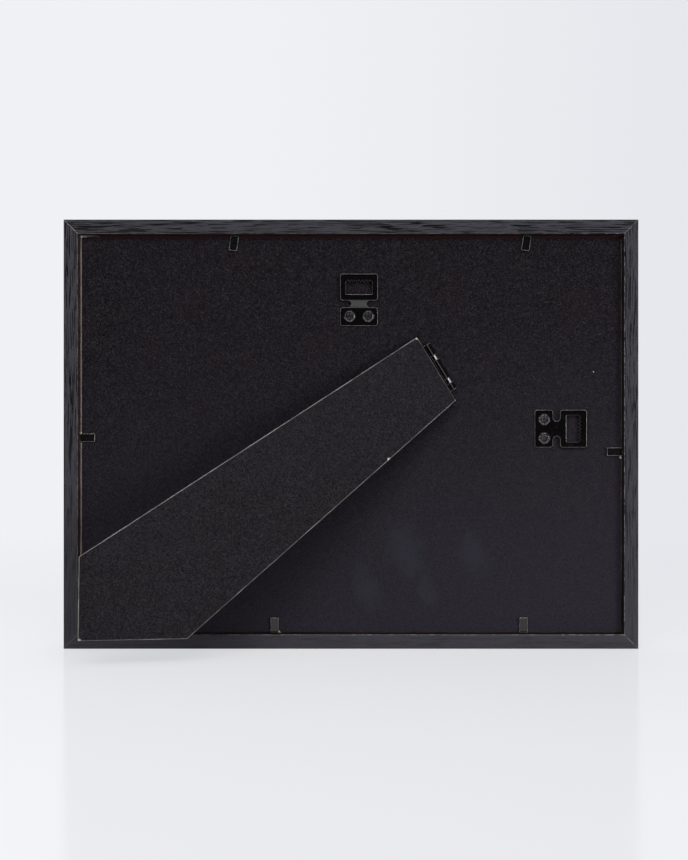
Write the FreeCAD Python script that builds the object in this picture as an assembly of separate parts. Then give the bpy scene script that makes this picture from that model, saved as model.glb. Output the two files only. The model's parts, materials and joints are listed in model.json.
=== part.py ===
import FreeCAD, Part
import math
import os

from FreeCAD import Vector

os.makedirs("parts", exist_ok=True)

# Photo frame that stands on its long edge. X runs along the width and Z up from the middle of the
# bottom edge. The glass faces +Y, and the back, with the strut and the hangers, faces -Y.
# Lengths are in millimetres and angles in degrees.

# Rails
frame_width = 314.0
frame_height = 234.5
frame_depth = 15.0
rail_wall = 7.8  # back face of a rail, outside the rabbet
rail_lip = 6.2  # how far the front reaches in past the rabbet wall
lip_thickness = 4.0
rail_rounding = 0.5
rabbet_rounding = 0.25

# V-shaped nails across the mitres
nail_inset = 2.8  # bend of the V, in from both outer sides
nail_leg = 3.6
nail_thickness = 0.4
nail_height = 5.5
nail_cover = 1.2  # wood and filler over the nail

# What lies in the rabbet, from the glass to the back panel
rabbet_clearance = 0.5
glass_thickness = 2.0
mat_thickness = 1.4
mat_window_width = 198.0
mat_window_height = 148.0
insert_thickness = 0.3
panel_thickness = 3.0
panel_bevel = 0.7

# Strut, laid out as it lies closed on the panel
strut_thickness = 2.5
strut_bevel = 0.45
strut_end_width = 40.6
strut_end_gap = 3.6  # from the hinge line to the end of the board
foot_side_gap = 5.1  # from the left rabbet wall
foot_base_gap = 1.85  # from the bottom rabbet wall
foot_side_length = 42.0
foot_base_length = 54.5
strut_rest_angle = 15.0

# Hinge
hinge_offset_x = 49.2  # from the middle of the frame
hinge_offset_z = 37.2
hinge_tilt = 31.2  # slant of the hinge line from upright
leaf_thickness = 0.7
leaf_reach = 19.0
leaf_gap = 0.1
leaf_corner = 2.5
pin_radius = 0.75
pin_clearance = 0.05
pin_head_radius = 1.1
pin_head_thickness = 0.4
barrel_clearance = 0.2
barrel_offset = 0.3  # middle of the barrel, along the hinge line from the middle of the strut's end
upper_knuckle = 7.0
middle_knuckle = 11.9
lower_knuckle = 4.2
knuckle_gap = 2.8
knuckle_relief = 0.4
prong_width = 1.6
prong_depth = 1.7
prong_near = 6.5  # the two rows of prongs, from the hinge line
prong_far = 15.5
prong_spread = 18.0

# Hanger plates
hanger_width = 20.6
hanger_thickness = 0.8
hanger_rise = 1.4
rivet_pad_length = 10.1
neck_length = 3.7
neck_width = 8.4
notch_rounding_share = 0.49  # of the neck's length
window_pad_length = 14.6
hanger_corner = 1.4
window_side_margin = 3.0
window_base_margin = 3.4
window_height = 7.8
window_chamfer = 1.3
tooth_depth = 1.25
tooth_count = 6
hanger_top_gap = 21.6  # from the top rabbet wall
hanger_top_offset = 4.4
hanger_side_gap = 20.0  # from the right rabbet wall
hanger_side_offset = 3.0

# Rivets that hold the hangers
rivet_spacing = 10.2
rivet_inset = 5.3  # from the end of the pad
rivet_shank_radius = 1.5
rivet_hole_clearance = 0.1
rivet_flange_radius = 3.0
rivet_flange_thickness = 0.5
rosette_radius = 3.05
rosette_flat = 2.55  # from the middle to a petal's straight edge
rosette_height = 0.85
rosette_rounding = 0.3
rosette_dimple_radius = 1.0
rosette_dimple_depth = 0.45
petal_slit = 0.26

# Bendable tabs that hold the panel in
tab_width = 4.5
tab_reach = 8.9
tab_thickness = 0.5
tab_corner = 0.6
tab_root_length = 6.4
tab_clearance = 0.25
tab_bend_gap = 0.1
tab_rest_angle = 6.0
tab_places = {  # side, share of the rabbet's width or height from its lower left corner, skew
    "top_left": ("top", 0.2865, -7.9),
    "top_right": ("top", 0.8244, -9.0),
    "bottom_left": ("bottom", 0.3596, 0.0),
    "bottom_right": ("bottom", 0.8174, 0.5),
    "left": ("left", 0.491, 0.0),
    "right": ("right", 0.456, 0.0),
}

# Places that follow from the sizes
overrun = frame_depth  # how far a cutter or a clipping solid runs past its work
plane_tolerance = panel_bevel / 100
front_y = frame_depth / 2
back_y = -frame_depth / 2
glass_front_y = front_y - lip_thickness
mat_front_y = glass_front_y - glass_thickness
insert_front_y = mat_front_y - mat_thickness
panel_front_y = insert_front_y - insert_thickness
panel_back_y = panel_front_y - panel_thickness
rabbet_left = -frame_width / 2 + rail_wall
rabbet_right = frame_width / 2 - rail_wall
rabbet_bottom = rail_wall
rabbet_top = frame_height - rail_wall
rabbet_width = rabbet_right - rabbet_left
rabbet_height = rabbet_top - rabbet_bottom
middle_z = frame_height / 2

outward = Vector(0, -1, 0)
upward = Vector(0, 0, 1)

barrel_radius = pin_radius + pin_clearance + leaf_thickness
axis_height = barrel_radius + barrel_clearance
hinge_line = Vector(math.sin(math.radians(hinge_tilt)), 0, -math.cos(math.radians(hinge_tilt)))
hinge_point = Vector(hinge_offset_x, panel_back_y - axis_height, middle_z + hinge_offset_z)
board_height = 2 * leaf_thickness + leaf_gap  # inner face of the closed strut, above the panel


def box(x_low, x_high, y_low, y_high, z_low, z_high):
    size = Vector(x_high - x_low, y_high - y_low, z_high - z_low)
    return Part.makeBox(size.x, size.y, size.z, Vector(x_low, y_low, z_low))


def prism(points, direction):
    return Part.Face(Part.makePolygon(points + points[:1])).extrude(direction)


def rounded_wire(corners):
    """Closed outline through (point, radius) corners, with a tangent arc at each radius."""
    bends = []
    for index, (point, radius) in enumerate(corners):
        before = (corners[index - 1][0] - point).normalize()
        after = (corners[(index + 1) % len(corners)][0] - point).normalize()
        half_angle = before.getAngle(after) / 2
        trim = radius / math.tan(half_angle)
        to_middle = (before + after).normalize()
        middle = point + to_middle * (radius / math.sin(half_angle) - radius)
        bends.append((point + before * trim, middle, point + after * trim))
    edges = []
    for index, (start, middle, end) in enumerate(bends):
        following = bends[(index + 1) % len(bends)][0]
        if corners[index][1] > 0:
            edges.append(Part.Arc(start, middle, end).toShape())
        edges.append(Part.LineSegment(end, following).toShape())
    return Part.Wire(edges)


def rounded_prism(corners, direction):
    return Part.Face(rounded_wire(corners)).extrude(direction)


def on_back(origin, along):
    """Placement whose Z faces out of the back, and whose Y runs in the given direction."""
    across = along.cross(outward)
    rows = [(across[i], along[i], outward[i], origin[i]) for i in range(3)]
    return FreeCAD.Placement(FreeCAD.Matrix(*rows[0], *rows[1], *rows[2], 0, 0, 0, 1))


def placed(shape, placement):
    moved = shape.copy()
    moved.Placement = placement.multiply(shape.Placement)
    return moved


def edges_on_plane(shape, axis_index, value):
    """Edges whose ends have the given X, Y or Z."""
    found = []
    for edge in shape.Edges:
        if all(abs(vertex.Point[axis_index] - value) < plane_tolerance for vertex in edge.Vertexes):
            found.append(edge)
    return found


def rail_solid(length):
    """Rail lying along X, outer side on Z = 0, mitred at both ends."""
    rail_face = rail_wall + rail_lip
    start = -length / 2
    profile = [
        (Vector(start, back_y, 0), rail_rounding),
        (Vector(start, front_y, 0), rail_rounding),
        (Vector(start, front_y, rail_face), rail_rounding),
        (Vector(start, glass_front_y, rail_face), 0),
        (Vector(start, glass_front_y, rail_wall), 0),
        (Vector(start, back_y, rail_wall), rabbet_rounding),
    ]
    bar = rounded_prism(profile, Vector(length, 0, 0))
    low_y = back_y - overrun
    mitred = prism(
        [
            Vector(-length / 2, low_y, 0),
            Vector(length / 2, low_y, 0),
            Vector(length / 2 - rail_face, low_y, rail_face),
            Vector(-length / 2 + rail_face, low_y, rail_face),
        ],
        Vector(0, frame_depth + 2 * overrun, 0),
    )
    return bar.common(mitred)


def turned_about_y(shape, angle, move):
    turned = shape.copy()
    turned.rotate(Vector(0, 0, 0), Vector(0, 1, 0), angle)
    turned.translate(move)
    return turned


def corner_nails():
    """One V-shaped nail across each mitre, its bend towards the outer corner."""
    nails = []
    half = nail_thickness / 2
    low = nail_inset - half
    far = nail_inset + nail_leg
    inner = nail_inset + half
    outline = [(low, low), (far, low), (far, inner), (inner, inner), (inner, far), (low, far)]
    for side in (-1, 1):
        for base, rise in ((0, 1), (frame_height, -1)):
            points = []
            for along, up in outline:
                x = side * (frame_width / 2 - along)
                points.append(Vector(x, back_y + nail_cover, base + rise * up))
            nails.append(prism(points, Vector(0, nail_height, 0)))
    return nails


def rails(sockets):
    """The four rails, each less the sockets for nails and tab roots."""
    flat = rail_solid(frame_width)
    upright = rail_solid(frame_height)
    bars = {
        "bottom_rail": flat,
        "top_rail": turned_about_y(flat, 180, Vector(0, 0, frame_height)),
        "left_rail": turned_about_y(upright, 90, Vector(-frame_width / 2, 0, middle_z)),
        "right_rail": turned_about_y(upright, -90, Vector(frame_width / 2, 0, middle_z)),
    }
    return {name: bar.cut(sockets) for name, bar in bars.items()}


def sheet(front, thickness):
    """Sheet that fills the rabbet, less its clearance, with its front at the given Y."""
    return box(
        rabbet_left + rabbet_clearance,
        rabbet_right - rabbet_clearance,
        front - thickness,
        front,
        rabbet_bottom + rabbet_clearance,
        rabbet_top - rabbet_clearance,
    )


def window_wire(margin, y):
    half_width = mat_window_width / 2 + margin
    half_height = mat_window_height / 2 + margin
    corners = [(-1, -1), (1, -1), (1, 1), (-1, 1)]
    points = [Vector(i * half_width, y, middle_z + j * half_height) for i, j in corners]
    return Part.makePolygon(points + points[:1])


def mat_board():
    """Board with a window whose edge slopes at 45 degrees, wider at the front."""
    narrow = window_wire(0, insert_front_y)
    wide = window_wire(mat_thickness, mat_front_y)
    opening = Part.makeLoft([narrow, wide], True, True)
    return sheet(mat_front_y, mat_thickness).cut(opening)


def panel_blank():
    blank = sheet(panel_front_y, panel_thickness)
    return blank.makeChamfer(panel_bevel, edges_on_plane(blank, 1, panel_back_y))


def hinge_placement():
    """X runs from the hinge line to the foot, Y down the hinge line, Z out of the back."""
    return on_back(hinge_point, hinge_line)


def strut_outline():
    """Corners of the closed strut, in the hinge's own X and Y."""
    foot_x = rabbet_left + foot_side_gap
    foot_z = rabbet_bottom + foot_base_gap
    to_local = hinge_placement().inverse()
    foot = []
    for x, z in (
        (foot_x + foot_base_length, foot_z),
        (foot_x, foot_z),
        (foot_x, foot_z + foot_side_length),
    ):
        foot.append(to_local.multVec(Vector(x, hinge_point.y, z)))
    half = strut_end_width / 2
    return [Vector(strut_end_gap, -half, 0), Vector(strut_end_gap, half, 0)] + foot


def strut_blank():
    inner = board_height - axis_height
    outer = inner + strut_thickness
    points = [Vector(point.x, point.y, inner) for point in strut_outline()]
    board = prism(points, Vector(0, 0, strut_thickness))
    return board.makeChamfer(strut_bevel, edges_on_plane(board, 2, outer))


def knuckle(start, length):
    """Rolled barrel section around the hinge line, before its bore."""
    return Part.makeCylinder(barrel_radius, length, Vector(0, start, 0), Vector(0, 1, 0))


def leaf_plate(low_z):
    """Flat leaf, from clear of the barrel to its far edge, with cut corners."""
    half = barrel_length() / 2
    near = barrel_radius + knuckle_relief
    far = leaf_reach
    points = [
        Vector(near, barrel_offset - half, low_z),
        Vector(near, barrel_offset + half, low_z),
        Vector(far - leaf_corner, barrel_offset + half, low_z),
        Vector(far, barrel_offset + half - leaf_corner, low_z),
        Vector(far, barrel_offset - half + leaf_corner, low_z),
        Vector(far - leaf_corner, barrel_offset - half, low_z),
    ]
    return prism(points, Vector(0, 0, leaf_thickness))


def barrel_length():
    return upper_knuckle + middle_knuckle + lower_knuckle + 2 * knuckle_gap


def knuckle_spans():
    """Start and length of the three knuckles, from the upper end of the barrel."""
    start = barrel_offset - barrel_length() / 2
    spans = []
    for length in (upper_knuckle, middle_knuckle, lower_knuckle):
        spans.append((start, length))
        start += length + knuckle_gap
    return spans


def leaf(spans, low_z, prong_direction):
    """Leaf with its knuckles, the tongues that join them, and its prongs."""
    solid = leaf_plate(low_z)
    reach = barrel_radius + knuckle_relief
    for start, length in spans:
        tongue = box(0, reach, start, start + length, low_z, low_z + leaf_thickness)
        solid = solid.fuse([knuckle(start, length), tongue])
    bore_radius = pin_radius + pin_clearance
    bore_length = barrel_length() + 2 * overrun
    bore_start = Vector(0, barrel_offset - bore_length / 2, 0)
    bore = Part.makeCylinder(bore_radius, bore_length, bore_start, Vector(0, 1, 0))
    face_z = low_z if prong_direction < 0 else low_z + leaf_thickness
    solid = solid.cut(bore).fuse(prongs(face_z, prong_direction))
    return solid.removeSplitter()


def prongs(face_z, direction):
    """Four pointed prongs that stand out of a leaf's board side."""
    found = []
    for x in (prong_near, prong_far):
        for side in (-1, 1):
            y = barrel_offset + side * prong_spread / 2
            points = [
                Vector(x, y - prong_width / 2, face_z),
                Vector(x, y + prong_width / 2, face_z),
                Vector(x, y, face_z + direction * prong_depth),
            ]
            found.append(prism(points, Vector(leaf_thickness, 0, 0)))
    return found


def hinge_pin():
    """Pin with a small head past each end of the barrel."""
    length = barrel_length()
    start = barrel_offset - length / 2
    along = Vector(0, 1, 0)
    shaft = Part.makeCylinder(pin_radius, length, Vector(0, start, 0), along)
    heads = []
    for head_start in (start - pin_head_thickness, start + length):
        place = Vector(0, head_start, 0)
        heads.append(Part.makeCylinder(pin_head_radius, pin_head_thickness, place, along))
    return shaft.fuse(heads).removeSplitter()


def opened(shape):
    """Turn a closed strut piece about the hinge line to its rest angle."""
    turned = shape.copy()
    turned.rotate(Vector(0, 0, 0), Vector(0, 1, 0), -strut_rest_angle)
    return turned


def hanger_length():
    return rivet_pad_length + neck_length + window_pad_length


def hanger_side_view():
    """Sheet with its joggle, across the whole width of the plate."""
    half = hanger_width / 2 + overrun
    neck_end = rivet_pad_length + neck_length
    end = hanger_length()
    top = hanger_rise + hanger_thickness
    points = [
        Vector(-half, 0, 0),
        Vector(-half, rivet_pad_length, 0),
        Vector(-half, neck_end, hanger_rise),
        Vector(-half, end, hanger_rise),
        Vector(-half, end, top),
        Vector(-half, neck_end, top),
        Vector(-half, rivet_pad_length, hanger_thickness),
        Vector(-half, 0, hanger_thickness),
    ]
    return prism(points, Vector(2 * half, 0, 0))


def hanger_outline():
    """Corners of the plate seen from behind: pad, round-ended notches, window pad."""
    half = hanger_width / 2
    neck = neck_width / 2
    neck_end = rivet_pad_length + neck_length
    end = hanger_length()
    notch = neck_length * notch_rounding_share
    right = [
        (half, 0, hanger_corner),
        (half, rivet_pad_length, hanger_corner),
        (neck, rivet_pad_length, notch),
        (neck, neck_end, notch),
        (half, neck_end, hanger_corner),
        (half, end, hanger_corner),
    ]
    left = [(-x, y, radius) for x, y, radius in reversed(right)]
    return [(Vector(x, y, -overrun), radius) for x, y, radius in right + left]


def window_outline():
    """Window with a row of teeth that point back from its far edge."""
    half = hanger_width / 2 - window_side_margin
    base = rivet_pad_length + neck_length + window_base_margin
    far = base + window_height
    row = 2 * (half - window_chamfer)
    pitch = row / tooth_count
    points = [(-half, base), (half, base), (half, far - window_chamfer)]
    for index in range(tooth_count):
        x = row / 2 - index * pitch
        points += [(x, far), (x - pitch / 2, far - tooth_depth)]
    points += [(-row / 2, far), (-half, far - window_chamfer)]
    return [Vector(x, y, -overrun) for x, y in points]


def rivet_places():
    """Middles of a hanger's two rivets, on its own X and Y."""
    return [Vector(side * rivet_spacing / 2, rivet_inset, 0) for side in (-1, 1)]


def hanger_plate():
    through = Vector(0, 0, 2 * overrun)
    plate = hanger_side_view().common(rounded_prism(hanger_outline(), through))
    plate = plate.cut(prism(window_outline(), through))
    hole_radius = rivet_shank_radius + rivet_hole_clearance
    for place in rivet_places():
        start = place - Vector(0, 0, overrun)
        plate = plate.cut(Part.makeCylinder(hole_radius, 2 * overrun, start))
    return plate


def hanger_placements():
    top = Vector(hanger_top_offset, panel_back_y, rabbet_top - hanger_top_gap - hanger_length())
    side_x = rabbet_right - hanger_side_gap - hanger_length()
    side = Vector(side_x, panel_back_y, middle_z + hanger_side_offset)
    return {"top": on_back(top, upward), "side": on_back(side, Vector(1, 0, 0))}


def rosette():
    """Set end of a rivet: four petals with straight outer edges and slits between them."""
    disc = Part.makeCylinder(rosette_radius, rosette_height)
    square = box(-rosette_flat, rosette_flat, -rosette_flat, rosette_flat, 0, rosette_height)
    square.rotate(Vector(0, 0, 0), Vector(0, 0, 1), 45)
    head = disc.common(square)
    head = head.makeFillet(rosette_rounding, edges_on_plane(head, 2, rosette_height))
    dimple_base = Vector(0, 0, rosette_height - rosette_dimple_depth)
    head = head.cut(Part.makeCylinder(rosette_dimple_radius, rosette_height, dimple_base))
    half_slit = petal_slit / 2
    for quarter in range(4):
        slit = box(rosette_dimple_radius, overrun, -half_slit, half_slit, 0, rosette_height)
        slit.rotate(Vector(0, 0, 0), Vector(0, 0, 1), 90 * quarter)
        head = head.cut(slit)
    head.translate(Vector(0, 0, hanger_thickness))
    return head


def rivet():
    """Rivet from its flange, let into the panel's front, to its set end on the plate."""
    inner_end = Vector(0, 0, -panel_thickness)
    shank_length = panel_thickness + hanger_thickness
    shank = Part.makeCylinder(rivet_shank_radius, shank_length, inner_end)
    flange = Part.makeCylinder(rivet_flange_radius, rivet_flange_thickness, inner_end)
    return shank.fuse([flange, rosette()]).removeSplitter()


def rivet_recess():
    """Hole through the panel with a counterbore for the flange."""
    inner_end = Vector(0, 0, -panel_thickness)
    hole_radius = rivet_shank_radius + rivet_hole_clearance
    recess_radius = rivet_flange_radius + rivet_hole_clearance
    hole = Part.makeCylinder(hole_radius, panel_thickness, inner_end)
    return hole.fuse(Part.makeCylinder(recess_radius, rivet_flange_thickness, inner_end))


def tab_axis_offset(skew):
    """From the rabbet wall to the bend line, so that a skewed blade clears the wall."""
    swing = tab_width / 2 * math.sin(math.radians(abs(skew)))
    return tab_thickness / 2 + tab_bend_gap + swing


def tab_placement(side, share, skew):
    """Bend line's middle. Y runs in from the wall, turned by the skew, and Z out of the back."""
    offset = tab_axis_offset(skew)
    bend_y = panel_back_y - tab_clearance - tab_thickness / 2
    x = rabbet_left + share * rabbet_width
    z = rabbet_bottom + share * rabbet_height
    sides = {
        "top": (Vector(x, bend_y, rabbet_top - offset), Vector(0, 0, -1)),
        "bottom": (Vector(x, bend_y, rabbet_bottom + offset), Vector(0, 0, 1)),
        "left": (Vector(rabbet_left + offset, bend_y, z), Vector(1, 0, 0)),
        "right": (Vector(rabbet_right - offset, bend_y, z), Vector(-1, 0, 0)),
    }
    middle, inward = sides[side]
    turn = FreeCAD.Rotation(outward, skew)
    return on_back(middle, turn.multVec(inward))


def tab_blade(skew):
    """Free part of a tab, rounded at the bend line and raised to its rest angle."""
    length = tab_reach - tab_axis_offset(skew)
    half = tab_width / 2
    low = -tab_thickness / 2
    corners = [
        (Vector(-half, 0, low), 0),
        (Vector(half, 0, low), 0),
        (Vector(half, length, low), tab_corner),
        (Vector(-half, length, low), tab_corner),
    ]
    blade = rounded_prism(corners, Vector(0, 0, tab_thickness))
    start = Vector(-half, 0, 0)
    bend = Part.makeCylinder(tab_thickness / 2, tab_width, start, Vector(1, 0, 0))
    blade = blade.fuse(bend).removeSplitter()
    blade.rotate(Vector(0, 0, 0), Vector(1, 0, 0), tab_rest_angle)
    return blade


def tab_root():
    """Driven part of a tab, in the rail."""
    half = tab_width / 2
    end = -(tab_thickness / 2 + tab_bend_gap)
    return box(-half, half, end - tab_root_length, end, -tab_thickness / 2, tab_thickness / 2)


def build():
    nodes = {}
    nails = corner_nails()
    roots = {}
    for name, (side, share, skew) in tab_places.items():
        placement = tab_placement(side, share, skew)
        roots[name] = placed(tab_root(), placement)
        nodes["tab_" + name] = placed(tab_blade(skew), placement)
        nodes["tab_root_" + name] = roots[name]

    nodes.update(rails(nails + list(roots.values())))
    nodes["corner_v_nails"] = Part.makeCompound(nails)
    nodes["glass_pane"] = sheet(glass_front_y, glass_thickness)
    nodes["mat_board"] = mat_board()
    nodes["insert_sheet"] = sheet(insert_front_y, insert_thickness)

    upper, middle, lower = knuckle_spans()
    hinge = hinge_placement()
    panel_leaf = leaf([middle], -axis_height, -1)
    strut_leaf_z = board_height - leaf_thickness - axis_height
    strut_leaf = leaf([upper, lower], strut_leaf_z, 1)
    board = strut_blank().cut(strut_leaf)
    nodes["hinge_panel_leaf"] = placed(panel_leaf, hinge)
    nodes["hinge_strut_leaf"] = placed(opened(strut_leaf), hinge)
    nodes["hinge_pin"] = placed(opened(hinge_pin()), hinge)
    nodes["strut_board"] = placed(opened(board), hinge)

    panel = panel_blank().cut(nodes["hinge_panel_leaf"])
    for name, placement in hanger_placements().items():
        nodes["hanger_plate_" + name] = placed(hanger_plate(), placement)
        pair = []
        for place in rivet_places():
            recess = rivet_recess()
            recess.translate(place)
            panel = panel.cut(placed(recess, placement))
            one = rivet()
            one.translate(place)
            pair.append(placed(one, placement))
        nodes["hanger_rivets_" + name] = Part.makeCompound(pair)
    nodes["back_panel"] = panel
    return nodes


nodes = build()
for name, shape in nodes.items():
    shape.exportStep(os.path.join("parts", name + ".step"))
    print(name, "solids", len(shape.Solids), "valid", shape.isValid(), "volume", round(shape.Volume, 1))
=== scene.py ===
import bpy
import bmesh
import json
import math
import re
from mathutils import Matrix, Vector, noise


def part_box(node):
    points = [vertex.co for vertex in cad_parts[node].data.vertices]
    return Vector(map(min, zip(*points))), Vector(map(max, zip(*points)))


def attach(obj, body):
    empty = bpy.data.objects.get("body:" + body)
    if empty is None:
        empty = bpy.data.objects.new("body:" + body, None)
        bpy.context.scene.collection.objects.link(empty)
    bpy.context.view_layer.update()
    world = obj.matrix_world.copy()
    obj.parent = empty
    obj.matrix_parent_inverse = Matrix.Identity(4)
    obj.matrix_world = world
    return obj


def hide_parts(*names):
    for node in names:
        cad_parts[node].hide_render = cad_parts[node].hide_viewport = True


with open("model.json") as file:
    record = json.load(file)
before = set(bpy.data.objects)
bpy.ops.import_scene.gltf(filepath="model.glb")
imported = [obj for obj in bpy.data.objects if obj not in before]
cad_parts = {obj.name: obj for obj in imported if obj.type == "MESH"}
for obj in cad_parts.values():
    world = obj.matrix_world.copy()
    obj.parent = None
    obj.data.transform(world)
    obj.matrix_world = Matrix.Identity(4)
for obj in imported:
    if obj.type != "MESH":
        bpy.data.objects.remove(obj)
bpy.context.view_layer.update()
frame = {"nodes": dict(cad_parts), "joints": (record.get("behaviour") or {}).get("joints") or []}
cad = frame["nodes"]
joints = {joint["name"]: joint for joint in frame["joints"]}
scene = bpy.context.scene

# The frame is in metres. Pieces are worked out in millimetres and scaled as they are placed.
mm = 0.001
toMetres = Matrix.Scale(mm, 4)
noise.seed_set(5)  # the same waver at each run


def boxInMm(node):
    low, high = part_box(node)
    return low / mm, high / mm


frameLow, frameHigh = boxInMm("bottom_rail")
frameWidth = frameHigh.x - frameLow.x
frameHeight = boxInMm("top_rail")[1].z
frameDepth = frameHigh.y - frameLow.y
panelLow, panelHigh = boxInMm("back_panel")
panelBack = panelLow.y
glassFront = boxInMm("glass_pane")[1].y
middleZ = frameHeight / 2

print("frame loaded")

# Node trees


# One output of a node. Python's operators on it add Math nodes.
class Field:
    def __init__(self, tree, socket):
        self.tree = tree
        self.socket = socket

    def out(self, name):
        return Field(self.tree, pick(self.socket.node.outputs, name))

    def math(self, operation, *others):
        return self.tree.math(operation, self, *others)

    def __add__(self, other):
        return self.math("ADD", other)

    def __radd__(self, other):
        return self.tree.math("ADD", other, self)

    def __sub__(self, other):
        return self.math("SUBTRACT", other)

    def __rsub__(self, other):
        return self.tree.math("SUBTRACT", other, self)

    def __mul__(self, other):
        return self.math("MULTIPLY", other)

    def __rmul__(self, other):
        return self.tree.math("MULTIPLY", other, self)

    def __truediv__(self, other):
        return self.math("DIVIDE", other)

    def __pow__(self, other):
        return self.math("POWER", other)

    def __abs__(self):
        return self.math("ABSOLUTE")

    def atLeast(self, other):
        return self.math("MAXIMUM", other)

    def atMost(self, other):
        return self.math("MINIMUM", other)

    def rise(self, low, high):  # 0 below low, 1 above high, soft between them
        sockets = {"Value": self, "From Min": low, "From Max": high}
        return self.tree.node("ShaderNodeMapRange", {"interpolation_type": "SMOOTHSTEP"}, sockets)

    def fall(self, low, high):
        return 1 - self.rise(low, high)


def pick(sockets, name):
    if isinstance(name, int):
        return sockets[name]
    return next(socket for socket in sockets if socket.name == name and socket.enabled)


class Tree:
    def __init__(self, group):
        self.group = group

    # Adds a node: its settings first, then a value or a link for each socket
    def node(self, kind, settings=None, sockets=None):
        made = self.group.nodes.new(kind)
        for name, value in (settings or {}).items():
            setattr(made, name, value)
        for name, value in (sockets or {}).items():
            socket = pick(made.inputs, name)
            if isinstance(value, Field):
                self.group.links.new(value.socket, socket)
            else:
                socket.default_value = value
        shown = [socket for socket in made.outputs if socket.enabled]
        return Field(self, shown[0]) if shown else None

    def math(self, operation, *values):
        return self.node("ShaderNodeMath", {"operation": operation}, dict(enumerate(values)))

    def vector(self, operation, *values):
        return self.node("ShaderNodeVectorMath", {"operation": operation}, dict(enumerate(values)))

    def distance(self, spot, place):
        return self.vector("DISTANCE", spot, tuple(place))

    def combine(self, x, y, z):
        return self.node("ShaderNodeCombineXYZ", {}, {"X": x, "Y": y, "Z": z})

    def split(self, vector):
        parts = self.node("ShaderNodeSeparateXYZ", {}, {"Vector": vector})
        return parts, parts.out("Y"), parts.out("Z")

    def noise(self, place, scale, detail=3.0, roughness=0.55, distortion=0.0):
        sockets = {"Vector": place, "Scale": scale, "Detail": detail}
        sockets.update({"Roughness": roughness, "Distortion": distortion})
        return self.node("ShaderNodeTexNoise", {}, sockets)

    # Noise drawn out along the grain
    def grain(self, along, across, often, level=0.0, **look):
        return self.noise(self.combine(along * often[0], across * often[1], level), 1.0, **look)

    def mix(self, share, first, second):
        sockets = {"Factor": share, "A": first, "B": second}
        return self.node("ShaderNodeMix", {"data_type": "RGBA"}, sockets)

    def shape(self, kind, sockets=None, settings=None):
        return self.node("GeometryNode" + kind, settings, sockets)

    def moved(self, geometry, x, y, z):
        return self.shape("SetPosition", {"Geometry": geometry, "Position": self.combine(x, y, z)})

    def shifted(self, geometry, x, y, z):
        return self.shape("Transform", {"Geometry": geometry, "Translation": self.combine(x, y, z)})

    def above(self, value, limit):
        settings = {"data_type": "FLOAT", "operation": "GREATER_THAN"}
        return self.node("FunctionNodeCompare", settings, {"A": value, "B": limit})

    def rounded(self, curve, steps, radius):
        sockets = {"Curve": curve, "Count": steps, "Radius": radius, "Limit Radius": True}
        return self.shape("FilletCurve", sockets, {"mode": "POLY"})

    def join(self, *solids):
        whole = self.group.nodes.new("GeometryNodeJoinGeometry")
        for solid in solids:
            self.group.links.new(solid.socket, whole.inputs[0])
        return Field(self, whole.outputs[0])


def grey(level):
    return (level, level, level, 1.0)


# Colour as a screen shows it, 0 to 255, made linear
def shown(red, green, blue):
    channels = []
    for value in (red, green, blue):
        share = value / 255
        channels.append(share / 12.92 if share <= 0.04045 else ((share + 0.055) / 1.055) ** 2.4)
    return (*channels, 1.0)


def newMaterial(name):
    material = bpy.data.materials.new(name)
    material.use_nodes = True
    material.node_tree.nodes.clear()
    tree = Tree(material.node_tree)
    place = tree.node("ShaderNodeTexCoord").out("Object")
    spot = tree.vector("MULTIPLY", place, (1 / mm, 1 / mm, 1 / mm))
    return material, tree, spot


# Finish over a relief given as its height, its strength and its depth in mm
def closeMaterial(tree, colour, roughness, relief, metallic=0.0, specular=0.5):
    height, strength, depth = relief
    bump = {"Height": height, "Strength": strength, "Distance": depth * mm}
    normal = tree.node("ShaderNodeBump", {}, bump)
    surface = tree.node("ShaderNodeBsdfPrincipled", {}, {
        "Base Color": colour, "Roughness": roughness, "Metallic": metallic,
        "Specular IOR Level": specular, "Normal": normal,
    })
    tree.node("ShaderNodeOutputMaterial", {}, {"Surface": surface})


# Materials. Colours are written as they show in plain light. A pair named Edge is where a pattern
# starts to show and where it shows in full. A pair named Often is its repeats in a millimetre,
# along the grain and across it.

rail = {
    "rounding": 0.5,
    "innerRounding": 0.25,
    "arcSteps": 5,
    "rabbetClearance": 0.5,
    "wallReach": (0.4, 0.6),
}

wood = {
    "light": shown(72, 71, 80),
    "dark": shown(8, 8, 10),
    "warm": shown(64, 62, 66),
    "wrap": 0.8,  # turns the grain with the depth, so that it runs on over the outer sides
    "wander": 0.5,  # mm that the grain strays sideways
    "strayOften": (0.022, 0.09),
    "streakOften": (1 / 14, 1 / 0.56),
    "streakEdge": (0.535, 0.59),
    "poreOften": (1 / 4.5, 1 / 0.34),
    "poreEdge": (0.5, 0.7),
    "poreShare": 0.45,
    "bandOften": (0.012, 0.3),
    "bandEdge": (0.3, 0.6),
    "toneOften": (0.03, 0.22),
    "fineOften": (0.6, 3.4),
    "fineEdge": (0.35, 0.8),
    "leastGrain": 0.3,
    "fullGrainShare": 0.62,  # of the height
    "mitreLine": shown(176, 168, 160),
    "mitreHalf": 0.2,
    "fillerEdge": (0.35, 0.55),
    "arrisLine": shown(158, 154, 158),
    "innerArris": (0.12, 0.42),  # mm from the arris
    "outerArris": (0.1, 0.4),
    "arrisDepth": (0.6, 1.0),  # mm in from the back
    "wearEdge": (0.42, 0.66),
    "wear": 0.4,
    # at the bottom this is partly a painted highlight on the arrises
    "moreWearAndHighlight": 0.5,  # added at the bottom and on the right rail's inner arris
    "bottomWear": 0.3,
    "bottomReach": (9, 12),
    "bottomFrom": (-80, -20),
    "rightFrom": (100, 120),
}


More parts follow.
